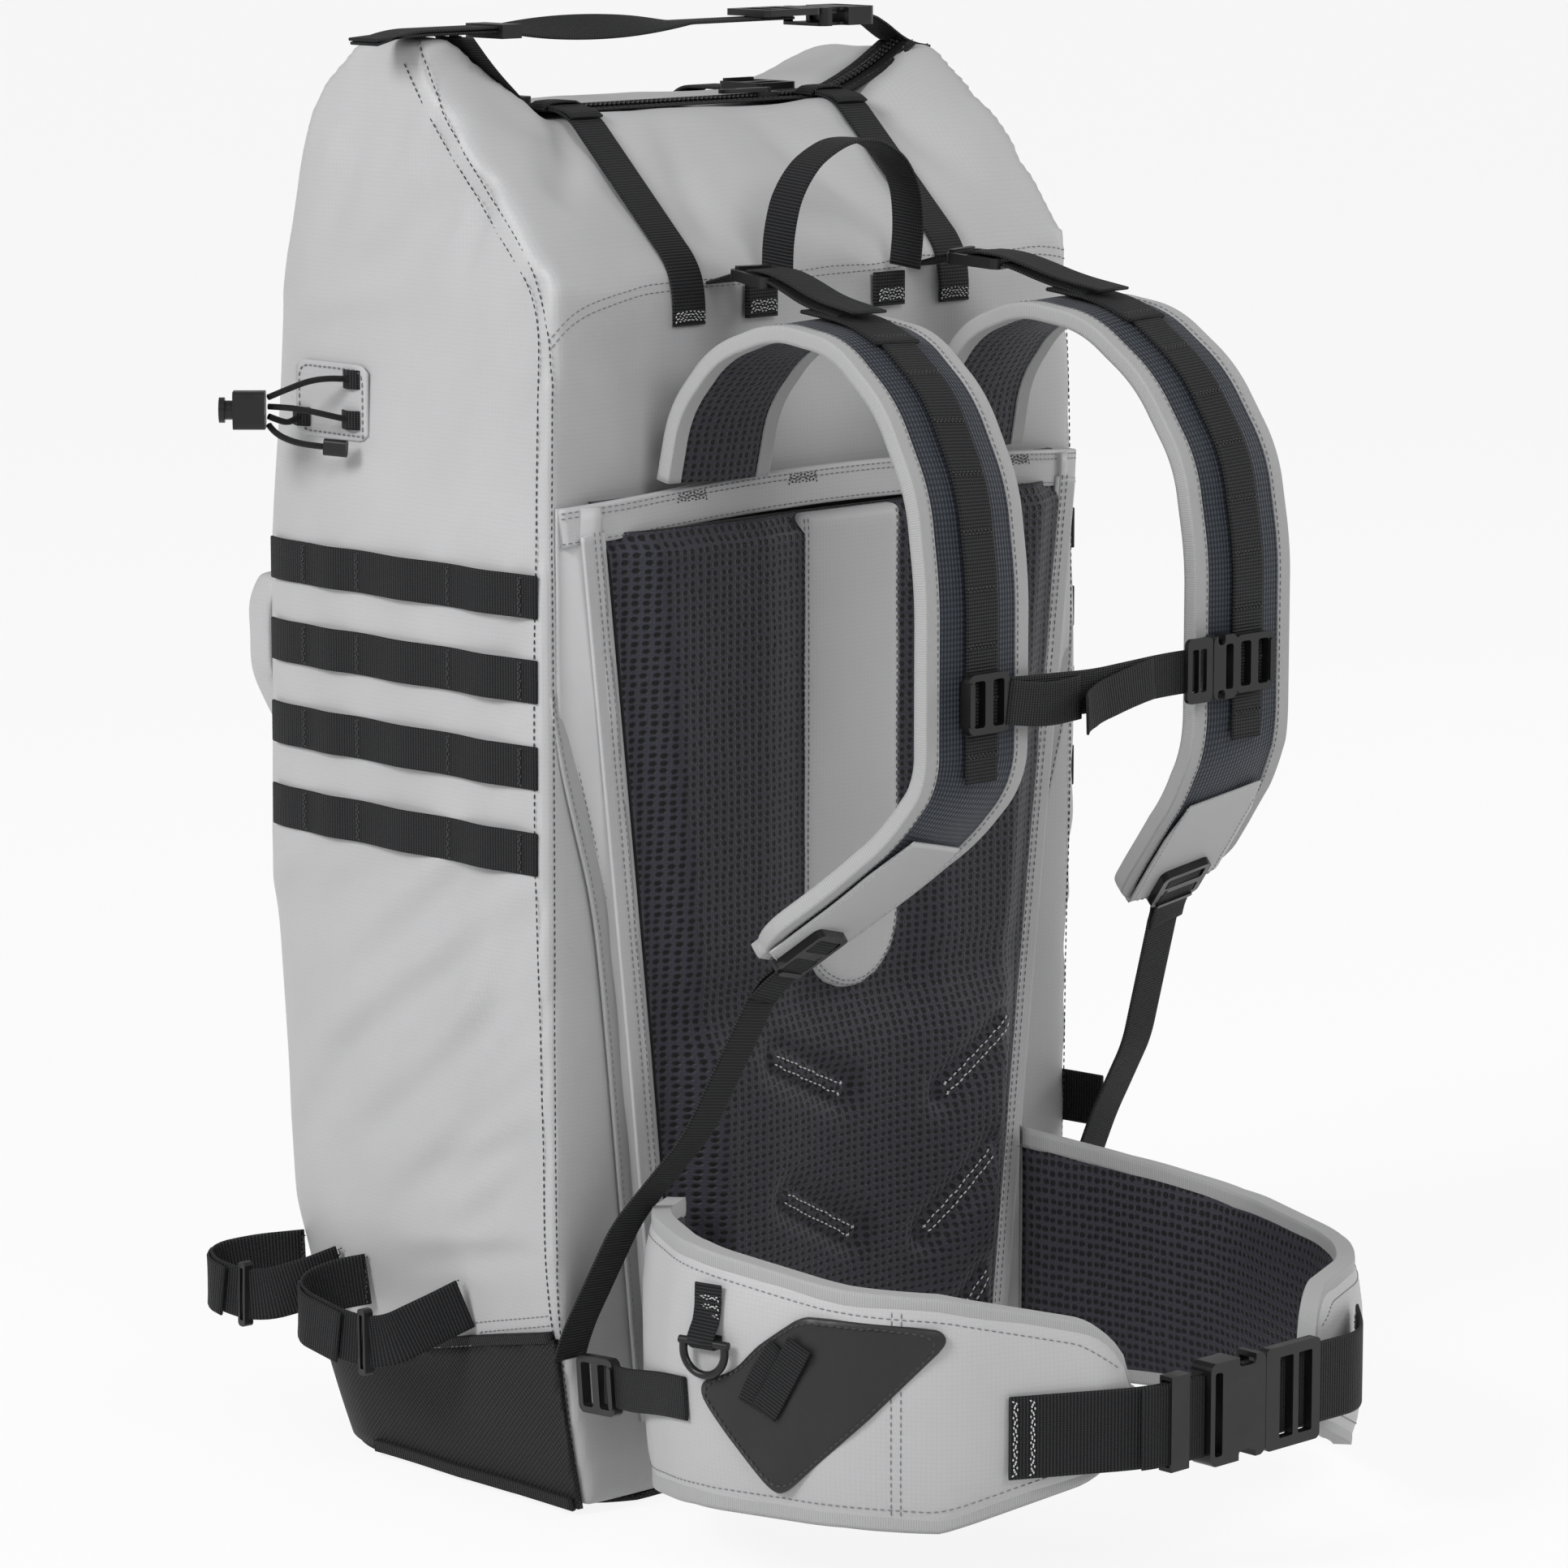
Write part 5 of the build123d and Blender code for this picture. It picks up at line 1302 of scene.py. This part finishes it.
class PACK_OT_hip_belt(bpy.types.Operator):
    """Padded hip wings with binding and seams, and the belt's webbing"""
    bl_idname = "pack.hip_belt"
    bl_label = "Hip belt"

    def execute(self, context):
        for side, name in SIDE_NAMES:
            rows = wing_lines(side, name)
            shares = [-1, -0.97, -0.9, -0.75, -0.5, -0.25, 0, 0.25, 0.5, 0.75, 0.9, 0.97, 1]

            def outline_at(i, share):
                spot, top, low, out, run, place = rows[i]
                half = (top - low) / 2
                close = smooth(0, 0.05, share) * smooth(0, 0.05, 1 - share)
                points = []
                for s in shares:
                    thick = mix(0.0028, 0.0086, (1 - s ** 4) * mix(0.5, 1.0, close))
                    thick += 0.0006 * noise.noise(spot * 25 + Vector((0, 0, s)))
                    points.append((s * half, thick))
                below = [(s, -t * 0.95) for s, t in reversed(points)]
                return points + below

            frames = [(Vector((0, 0, 1)), row[3]) for row in rows]
            centres = [row[0] + Vector((0, 0, (row[1] + row[2]) / 2)) for row in rows]
            pad = swept_mesh("wing", centres, frames, outline_at, two_sided=True)
            piece = add_piece("hip_wing_foam_" + name, pad, ["ripstop", "mesh"],
                              stands_for=["hip_wing_" + name])
            wide = []
            edge_frames = [(row[3], Vector((0, 0, 1))) for row in rows]
            for pick in (1, 2):
                spots = [row[0] + Vector((0, 0, row[pick] + (-0.0025 if pick == 1 else 0.0025))) for row in rows]
                wide.append(swept_mesh("edge", spots, edge_frames, lambda i, s: section(0.0092, 0.0088)))
            row = rows[-1]
            low = row[0] + Vector((0, 0, row[2]))
            path = [low.lerp(row[0] + Vector((0, 0, row[1])), i / 10) - row[4] * 0.001 for i in range(11)]
            wide.append(swept_mesh("tip", path, [(row[3], row[4])] * 11, lambda i, s: section(0.0092, 0.0088)))
            add_piece("hip_binding_" + name, joined("hip_binding", wide), "binding")
            seams = []
            for pick, shift in ((1, -0.0085), (2, 0.0085)):
                seams.append([row[0] + row[3] * 0.0062 + Vector((0, 0, row[pick] + shift)) for row in rows])
            surface = surface_of(piece)
            seams = [laid([tuple(p / MM) for p in line[::4]], surface, 0.0002)[0] for line in seams]
            for place in (0.655, 0.675):
                row = min(rows, key=lambda r: abs(r[5] - place))
                line = [row[0] + row[3] * 0.009 + Vector((0, 0, mix(row[2] + 0.006, row[1] - 0.006, i / 8)))
                        for i in range(9)]
                seams.append(laid([tuple(p / MM) for p in line], surface, 0.0002)[0])
            stitches("hip_stitches_" + name, seams, "thread")
        left = strap_mesh("left", [(-117.5, -329.5, 80), (-66, -357.0, 80), (-56, -360.8, 80),
                                   (-27.6, -362, 80)], (0, 0, 1), 38, 1.8)
        doubled = strap_mesh("doubled", [(-64, -360.2, 80), (-54, -363.4, 80), (-27.8, -364.4, 80)], (0, 0, 1),
                             38, 1.6)
        add_piece("hip_webbing_left", joined("hip_left", [left, doubled]), "webbing",
                  stands_for=["hip_strap_left"])
        right = strap_mesh("right", [(22, -362, 80), (82, -362, 80), (97, -350, 80), (117.5, -329.5, 80)],
                           (0, 0, 1), 38, 1.8)
        add_piece("hip_webbing_right", right, "webbing", stands_for=["hip_strap_right"])
        tacks = []
        for side in (-1, 1):
            for share in (0.03, 0.17):
                spot = mm(side * 117.5, -331.0, 80).lerp(mm(side * 66, -358.6, 80), share)
                tacks.append(zigzag(spot + mm(0, 0, -17), spot + mm(0, 0, 17), mm(side * -0.9, -0.5, 0), 14))
        stitches("hip_tacks", tacks, "pale_thread", pitch=0.0018, size=0.0004)
        return {"FINISHED"}


WING_ROWS = {}


def pocket_spot(u, z, lift):
    """A place on the left wing's flat side: along it, up, and off its cloth, in millimetres."""
    if "left" not in WING_ROWS:
        WING_ROWS["left"] = wing_lines(-1, "left", 0.002)
    rows = WING_ROWS["left"]
    start = min(range(len(rows)), key=lambda i: (rows[i][0] - mm(-184, -198, 0)).length)
    place = min(max(start + u / 2.0, 0), len(rows) - 1.001)
    low = int(place)
    spot = rows[low][0].lerp(rows[low + 1][0], place - low)
    out = rows[low][3].lerp(rows[low + 1][3], place - low).normalized()
    return spot / MM + out * (8.4 + lift) + Vector((0, 0, z))


def slab(name, outline, lift, thick, rounds=3, crown=0.0):
    """A thin patch on the wing: its outline, given some thickness and soft corners."""
    bm = bmesh.new()
    uv = bm.loops.layers.uv.new("weave")
    points = [Vector(p) for p in outline]
    for _ in range(rounds):
        cut = []
        for a, b in zip(points, points[1:] + points[:1]):
            if (b - a).length > 2.0:
                pull = min(0.25, 3.0 / (b - a).length)
                cut += [a.lerp(b, pull), a.lerp(b, 1 - pull)]
            else:
                cut.append(a.lerp(b, 0.5))
        points = cut
    middle = sum(points, Vector((0, 0))) / len(points)
    rings = []
    for share, height in ((1.0, 0.0), (1.0, 0.75), (0.985, 1.0), (0.9, 1.0), (0.78, 1.0), (0.66, 1.0), (0.54, 1.0),
                          (0.42, 1.0), (0.3, 1.0), (0.2, 1.0), (0.1, 1.0)):
        ring = []
        for point in points:
            spot = middle.lerp(point, share)
            rise = lift + thick * height + crown * (1 - share ** 2)
            ring.append((bm.verts.new(pocket_spot(spot.x, spot.y, rise) * MM), spot))
        rings.append(ring)
    for low, high in zip(rings, rings[1:]):
        for j in range(len(low)):
            k = (j + 1) % len(low)
            corners = (low[j], low[k], high[k], high[j])
            face = bm.faces.new([c[0] for c in corners])
            for loop, corner in zip(face.loops, corners):
                loop[uv].uv = corner[1] * MM
    for ring in (rings[0], rings[-1]):
        face = bm.faces.new([c[0] for c in ring])
        for loop, corner in zip(face.loops, ring):
            loop[uv].uv = corner[1] * MM
    bmesh.ops.recalc_face_normals(bm, faces=bm.faces)
    mesh = bpy.data.meshes.new(name)
    bm.to_mesh(mesh)
    bm.free()
    return mesh


class PACK_OT_hip_pocket(bpy.types.Operator):
    """Coated flap over the hip pocket, its webbing pull and the gear ring's tab"""
    bl_idname = "pack.hip_pocket"
    bl_label = "Hip pocket"

    def execute(self, context):
        flap = [(9, 90), (20, 76), (36, 60), (45, 52), (52, 50.5), (86, 86), (121, 125), (118, 131), (62, 134.5),
                (50, 126), (38, 117), (26, 104), (10, 97)]
        piece = add_piece("flap_cloth", slab("flap", flap, -0.6, 2.6, 2, 0.9), "coated",
                          stands_for=["hip_pocket_flap"])
        middle = Vector((56, 94))
        row = [tuple(pocket_spot(*(middle + (Vector(p) - middle) * 0.94), 3)) for p in flap + flap[:1]]
        stitches("flap_stitches", [laid(row, surface_of(piece), 0.0002, 0.003, 0.009)[0]], "dark_thread",
                 size=0.0005)
        pulls = []
        for line, lift in (([(36, 90), (42, 104), (52, 118)], 3.4), ([(44, 88), (52, 102), (62, 122)], 4.9)):
            points = [tuple(pocket_spot(u, z, lift)) for u, z in line]
            pulls.append(strap_mesh("pull", points, (0.2, -0.6, -0.5), 13, 1.4))
        add_piece("pocket_pull", joined("pull", pulls), "webbing", stands_for=["hip_pocket_pull"])
        tab = [tuple(pocket_spot(13, z, lift)) for z, lift in ((142, 1.0), (128, 1.5), (121, 4.5), (118.5, 7.6),
                                                               (115, 8.1), (112, 5.5), (113, 1.6), (119, 0.4))]
        ring_tab = strap_mesh("tab", tab, (0.23, -0.97, 0), 14, 1.3, blend=0.003)
        add_piece("ring_tab", ring_tab, "webbing", stands_for=["gear_ring_tab"])
        rows = []
        for z in (136, 132, 128):
            rows.append(zigzag(pocket_spot(7.5, z, 2.3) * MM, pocket_spot(18.5, z, 2.3) * MM, mm(0, 0, 0.9), 6))
        stitches("tab_tacks", rows, "pale_thread", pitch=0.0017, size=0.00035)
        return {"FINISHED"}


class PACK_OT_stabilizers(bpy.types.Operator):
    """Webbing from the bag's foot to the hip wings"""
    bl_idname = "pack.stabilizers"
    bl_label = "Stabilizers"

    def execute(self, context):
        runs = []
        for side in (-1, 1):
            out = mirrored([(166.9, -118, 73.4), (168.8, -131.2, 73.6), (172.4, -140, 75), (183.2, -170.6, 82),
                            (189.2, -184.0, 85), (191.5, -199, 86.5)], side)
            runs.append(strap_mesh("out", out, (0, 0, 1), 20, 1.5))
            runs.append(strap_mesh("in", mirrored([(160.6, -93.0, 67), (164.2, -98.6, 69)], side), (0, 0, 1), 20, 1.5))
        add_piece("stabilizer_webbing", joined("stabilizers", runs), "webbing", stands_for=["stabilizer_straps"])
        return {"FINISHED"}


# ---------------------------------------------------------------- side webbing
BAG_LEVELS = [(3.3, 152, 112), (45, 160, 122), (120, 172, 134), (300, 178, 140), (440, 177, 140),
              (580, 170, 134), (700, 166, 112)]


def side_x(y, z, off):
    """How far out the bag's side is at a place, plus an offset, in millimetres."""
    for low, high in zip(BAG_LEVELS, BAG_LEVELS[1:]):
        if z <= high[0]:
            break
    share = (z - low[0]) / (high[0] - low[0])
    half = mix(low[1], high[1], share)
    front = mix(low[2], high[2], share)
    past = max(0.0, y - (front - 55))
    return half - 55 + math.sqrt(max(55 ** 2 - past ** 2, 0.0)) + off


class PACK_OT_daisy_chains(bpy.types.Operator):
    """Rows of webbing loops, tacked down across both sides"""
    bl_idname = "pack.daisy_chains"
    bl_label = "Daisy chains"

    def execute(self, context):
        tacks = []
        for side, name in SIDE_NAMES:
            runs = []
            for z in (318.5, 358.5, 398.5, 437.5):
                row = [(side_x(-86, z, 0.6), -86, z)]
                for low, high in zip((-76, -26, 39), (-26, 39, 78)):
                    middle = (low + high) / 2
                    row += [(side_x(low, z, 1.3), low, z), (side_x(low, z, 1.5), low + 5, z),
                            (side_x(middle, z, 4.4), middle, z), (side_x(high, z, 1.5), high - 5, z)]
                row += [(side_x(78, z, 1.3), 78, z), (side_x(95, z, 2.0), 95, z), (side_x(107, z, 2.0), 107, z)]
                runs.append(strap_mesh("row", mirrored(row, side), (0, 0, 1), 20, 1.5, blend=0.008))
                for y in (-76, -26, 39, 78):
                    x = side * (side_x(y, z, 2.5))
                    tacks.append(zigzag(mm(x, y, z - 8.5), mm(x, y, z + 8.5), mm(0, 1.0, 0), 8))
            add_piece("daisy_webbing_" + name, joined("daisy", runs), "webbing",
                      stands_for=["daisy_chains_" + name])
        stitches("daisy_tacks", tacks, "dark_thread", pitch=0.0018, size=0.00045)
        return {"FINISHED"}


class PACK_OT_ski_straps(bpy.types.Operator):
    """Doubled webbing loops for skis at the left foot"""
    bl_idname = "pack.ski_straps"
    bl_label = "Ski straps"

    def execute(self, context):
        loops = [([(side_x(108, 92, 2.8), 108, 92), (179, 120, 91), (196, 130, 88), (206, 124, 85),
                   (206.5, 110, 83)], (204, 99, 82),
                  [(201, 88, 82.5), (190, 74, 88), (side_x(66, 94, 2.8), 66, 94)]),
                 ([(side_x(47, 93, 2.8), 47, 93), (184, 55, 91), (201, 58, 87), (209, 50, 82),
                   (209.5, 20, 77.5)], (207, 6, 76.5),
                  [(203, -6, 78), (189, -16, 86), (side_x(-24, 94, 2.8), -24, 94)])]
        runs = []
        for front, ring, back in loops:
            runs.append(strap_mesh("front", mirrored(front + [ring], -1), (0, 0, 1), 25, 1.9, blend=0.008))
            turned = [(x + 2.4, y, z - 1.0) for x, y, z in front[2:]]
            runs.append(strap_mesh("turned", mirrored(turned, -1), (0, 0, 1), 25, 1.6, blend=0.008))
            runs.append(strap_mesh("back", mirrored([ring] + back, -1), (0, 0, 1), 25, 1.9, blend=0.008))
        add_piece("ski_webbing", joined("ski", runs), "webbing", stands_for=["ski_straps"])
        tacks = []
        for y, z in ((104, 92), (66, 94), (47, 93), (-20, 94)):
            x = -side_x(y, z, 4.4)
            tacks.append(zigzag(mm(x, y, z - 11), mm(x, y, z + 11), mm(0, 1.0, 0), 9))
        stitches("ski_tacks", tacks, "dark_thread", pitch=0.0018, size=0.00045)
        return {"FINISHED"}


class PACK_OT_bungee(bpy.types.Operator):
    """Bungee cords between their sewn patch and the cord lock"""
    bl_idname = "pack.bungee"
    bl_label = "Bungee"

    def execute(self, context):
        seat = side_x(61, 515, 1.5) + 1.4
        routes = [[(-seat, 46, 527), (-182, 48, 528), (-190, 57, 527), (-196, 67, 522.5), (-199.6, 77.3, 518)],
                  [(-seat, 82, 507), (-180, 81.5, 506), (-187, 78, 505), (-194, 76, 506.5), (-199.6, 77.3, 509)],
                  [(-seat, 46, 508), (-182, 49, 509.5), (-189, 58, 512), (-195, 68, 513.6),
                   (-199.6, 77.3, 513.6)],
                  [(-188.2, 51, 496), (-192, 57, 496.5), (-196.5, 65, 498), (-199.5, 73.5, 501.5),
                   (-199.6, 77.3, 505)]]
        curve = bpy.data.curves.new("bungee", "CURVE")
        curve.dimensions = "3D"
        curve.bevel_depth = 0.0015
        curve.bevel_resolution = 3
        for route in routes:
            spline = curve.splines.new("NURBS")
            spline.points.add(len(route) - 1)
            for point, spot in zip(spline.points, route):
                point.co = (*mm(*spot), 1)
            spline.order_u = 3
            spline.use_endpoint_u = True
            spline.resolution_u = 8
        holder = bpy.data.objects.new("holder", curve)
        bpy.context.scene.collection.objects.link(holder)
        mesh = evaluated(holder)
        bpy.data.objects.remove(holder)
        add_piece("bungee_strands", mesh, "cord", stands_for=["bungee_cord"])
        patch = []
        for i in range(9):
            y = 35 + i * 52 / 8
            patch.append((-side_x(y, 516, 1.2), y, 516))
        cloth = strap_mesh("patch", patch, (0, 0, 1), 36, 1.2, blend=0.004,
                           ease=lambda s: min(1.0, 0.82 + 2.2 * min(s, 1 - s)))
        piece = add_piece("bungee_base", cloth, "ripstop", stands_for=["bungee_patch"])
        ring = [(-178, 38, 500.5), (-178, 84, 500.5), (-176, 84.5, 531.5), (-178, 38, 531.5), (-178, 38, 500.5)]
        stitches("bungee_stitches", [laid(ring, surface_of(piece), 0.0003, 0.003)[0]], "thread", size=0.0005)
        tabs = []
        for y, z in ((46, 527), (82, 507), (46, 508)):
            x = side_x(y, z, 2.0)
            tabs.append(strap_mesh("tab", [(-x, y - 6, z), (-x - 1.6, y - 3, z), (-x - 2.4, y, z),
                                           (-x - 1.6, y + 3, z), (-x, y + 6, z)], (0, 0, 1), 9, 1.0, blend=0.002))
        add_piece("bungee_tabs", joined("tabs", tabs), "webbing")
        return {"FINISHED"}


# ---------------------------------------------------------------- hardware and stage
PLASTIC = ["zip_slider", "closure_keeper", "closure_buckle_female", "closure_buckle_male", "compression_buckles",
           "shoulder_lock_left", "shoulder_lock_right", "lifter_lock_left", "lifter_lock_right",
           "sternum_sliders", "sternum_buckle_female", "sternum_buckle_male", "gear_ring", "hip_strap_keeper",
           "hip_buckle_female", "hip_buckle_male", "stabilizer_buckles", "ski_strap_rings", "cord_lock_body",
           "cord_lock_button", "bungee_end_cap"]


class PACK_OT_hardware(bpy.types.Operator):
    """Finishes of the moulded buckles, rings and locks, and of the hidden frame"""
    bl_idname = "pack.hardware"
    bl_label = "Hardware"

    def execute(self, context):
        finishes = {name: "plastic" for name in PLASTIC}
        finishes["frame_sheet"] = "sheet"
        finishes["frame_stays"] = "stay"
        for name, finish in finishes.items():
            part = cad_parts[name]
            for slot in part.material_slots:
                slot.material = MATERIALS[finish]
        return {"FINISHED"}


def area_light(name, place, target, size, power):
    lamp = bpy.data.lights.new(name, "AREA")
    lamp.shape = "DISK"
    lamp.size = size
    lamp.energy = power
    holder = bpy.data.objects.new(name, lamp)
    holder.location = place
    holder.rotation_euler = (Vector(target) - Vector(place)).to_track_quat("-Z", "Y").to_euler()
    bpy.context.scene.collection.objects.link(holder)


class PACK_OT_stage(bpy.types.Operator):
    """Pale floor, soft studio light and the camera"""
    bl_idname = "pack.stage"
    bl_label = "Stage"

    def execute(self, context):
        scene = context.scene
        stage = scene.pack_stage
        world = bpy.data.worlds.new("studio")
        world.use_nodes = True
        tree = world.node_tree
        sky = tree.nodes["Background"]
        sky.inputs["Color"].default_value = (1, 1, 1, 1)
        path = tree.nodes.new("ShaderNodeLightPath")
        seen = math_node(tree, "MAXIMUM", path.outputs["Is Camera Ray"], path.outputs["Is Transmission Ray"])
        tree.links.new(ramp(tree, seen, 0.42, 1.0), sky.inputs["Strength"])
        scene.world = world

        floor = bpy.data.meshes.new("floor")
        floor.from_pydata([(-30, -30, 0), (30, -30, 0), (30, 30, 0), (-30, 30, 0)], [], [(0, 1, 2, 3)])
        holder = bpy.data.objects.new("floor", floor)
        scene.collection.objects.link(holder)
        material = bpy.data.materials.new("floor_white")
        material.use_nodes = True
        tree = material.node_tree
        shader = tree.nodes["Principled BSDF"]
        shader.inputs["Base Color"].default_value = (0.86, 0.86, 0.86, 1)
        shader.inputs["Roughness"].default_value = 0.95
        shader.inputs["Specular IOR Level"].default_value = 0.0
        glow = tree.nodes.new("ShaderNodeEmission")
        path = tree.nodes.new("ShaderNodeLightPath")
        seen = math_node(tree, "MAXIMUM", path.outputs["Is Camera Ray"], path.outputs["Is Glossy Ray"])
        seen = math_node(tree, "MAXIMUM", seen, path.outputs["Is Transmission Ray"])
        share = math_node(tree, "MULTIPLY", seen, 0.88)
        blend = tree.nodes.new("ShaderNodeMixShader")
        tree.links.new(share, blend.inputs[0])
        tree.links.new(shader.outputs[0], blend.inputs[1])
        tree.links.new(glow.outputs[0], blend.inputs[2])
        tree.links.new(blend.outputs[0], tree.nodes["Material Output"].inputs["Surface"])
        floor.materials.append(material)

        area_light("key", (-3.4, 0.2, 2.6), (0, 0, 0.35), 1.5, 105)
        area_light("front", (-0.8, -3.4, 2.6), (0, 0, 0.35), 2.0, 44)
        area_light("right", (3.2, -1.2, 1.6), (0, 0, 0.35), 1.6, 34)

        turn = -stage.azimuth
        run = Vector((math.sin(turn) * math.cos(stage.pitch), math.cos(turn) * math.cos(stage.pitch),
                      -math.sin(stage.pitch)))
        eye = bpy.data.cameras.new("camera")
        eye.lens = stage.lens
        eye.sensor_width = 36
        eye.clip_end = 100
        camera = bpy.data.objects.new("camera", eye)
        camera.location = mm(-26, -91, 334) - run * stage.distance
        camera.rotation_euler = run.to_track_quat("-Z", "Y").to_euler()
        scene.collection.objects.link(camera)
        scene.camera = camera
        scene.view_settings.view_transform = "Standard"
        return {"FINISHED"}


OPERATORS = [PACK_OT_stage, PACK_OT_bungee, PACK_OT_bag, PACK_OT_top_zip, PACK_OT_roof_straps,
             PACK_OT_back_panel, PACK_OT_shoulder_straps, PACK_OT_sternum_strap, PACK_OT_hip_belt,
             PACK_OT_hip_pocket, PACK_OT_stabilizers, PACK_OT_daisy_chains, PACK_OT_ski_straps,
             PACK_OT_hardware]


class PACK_PT_panel(bpy.types.Panel):
    """Lists the pack's pieces in the sidebar"""
    bl_idname = "PACK_PT_panel"
    bl_label = "Ski backpack"
    bl_space_type = "VIEW_3D"
    bl_region_type = "UI"
    bl_category = "Pack"

    def draw(self, context):
        for maker in OPERATORS:
            self.layout.operator(maker.bl_idname)


CLASSES = [BagSettings, WebbingSettings, StageSettings, *OPERATORS, PACK_PT_panel]


def register():
    for kind in CLASSES:
        bpy.utils.register_class(kind)
    bpy.types.Scene.pack_bag = bpy.props.PointerProperty(type=BagSettings)
    bpy.types.Scene.pack_webbing = bpy.props.PointerProperty(type=WebbingSettings)
    bpy.types.Scene.pack_stage = bpy.props.PointerProperty(type=StageSettings)


def unregister():
    del bpy.types.Scene.pack_bag
    del bpy.types.Scene.pack_webbing
    del bpy.types.Scene.pack_stage
    for kind in reversed(CLASSES):
        bpy.utils.unregister_class(kind)


def main():
    register()
    make_materials()
    bpy.ops.pack.stage()
    bpy.ops.pack.bungee()
    bpy.ops.pack.bag()
    bpy.ops.pack.top_zip()
    bpy.ops.pack.roof_straps()
    bpy.ops.pack.back_panel()
    bpy.ops.pack.shoulder_straps()
    bpy.ops.pack.sternum_strap()
    bpy.ops.pack.hip_belt()
    bpy.ops.pack.hip_pocket()
    bpy.ops.pack.stabilizers()
    bpy.ops.pack.daisy_chains()
    bpy.ops.pack.ski_straps()
    bpy.ops.pack.hardware()
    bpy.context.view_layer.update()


if __name__ == "__main__":
    main()
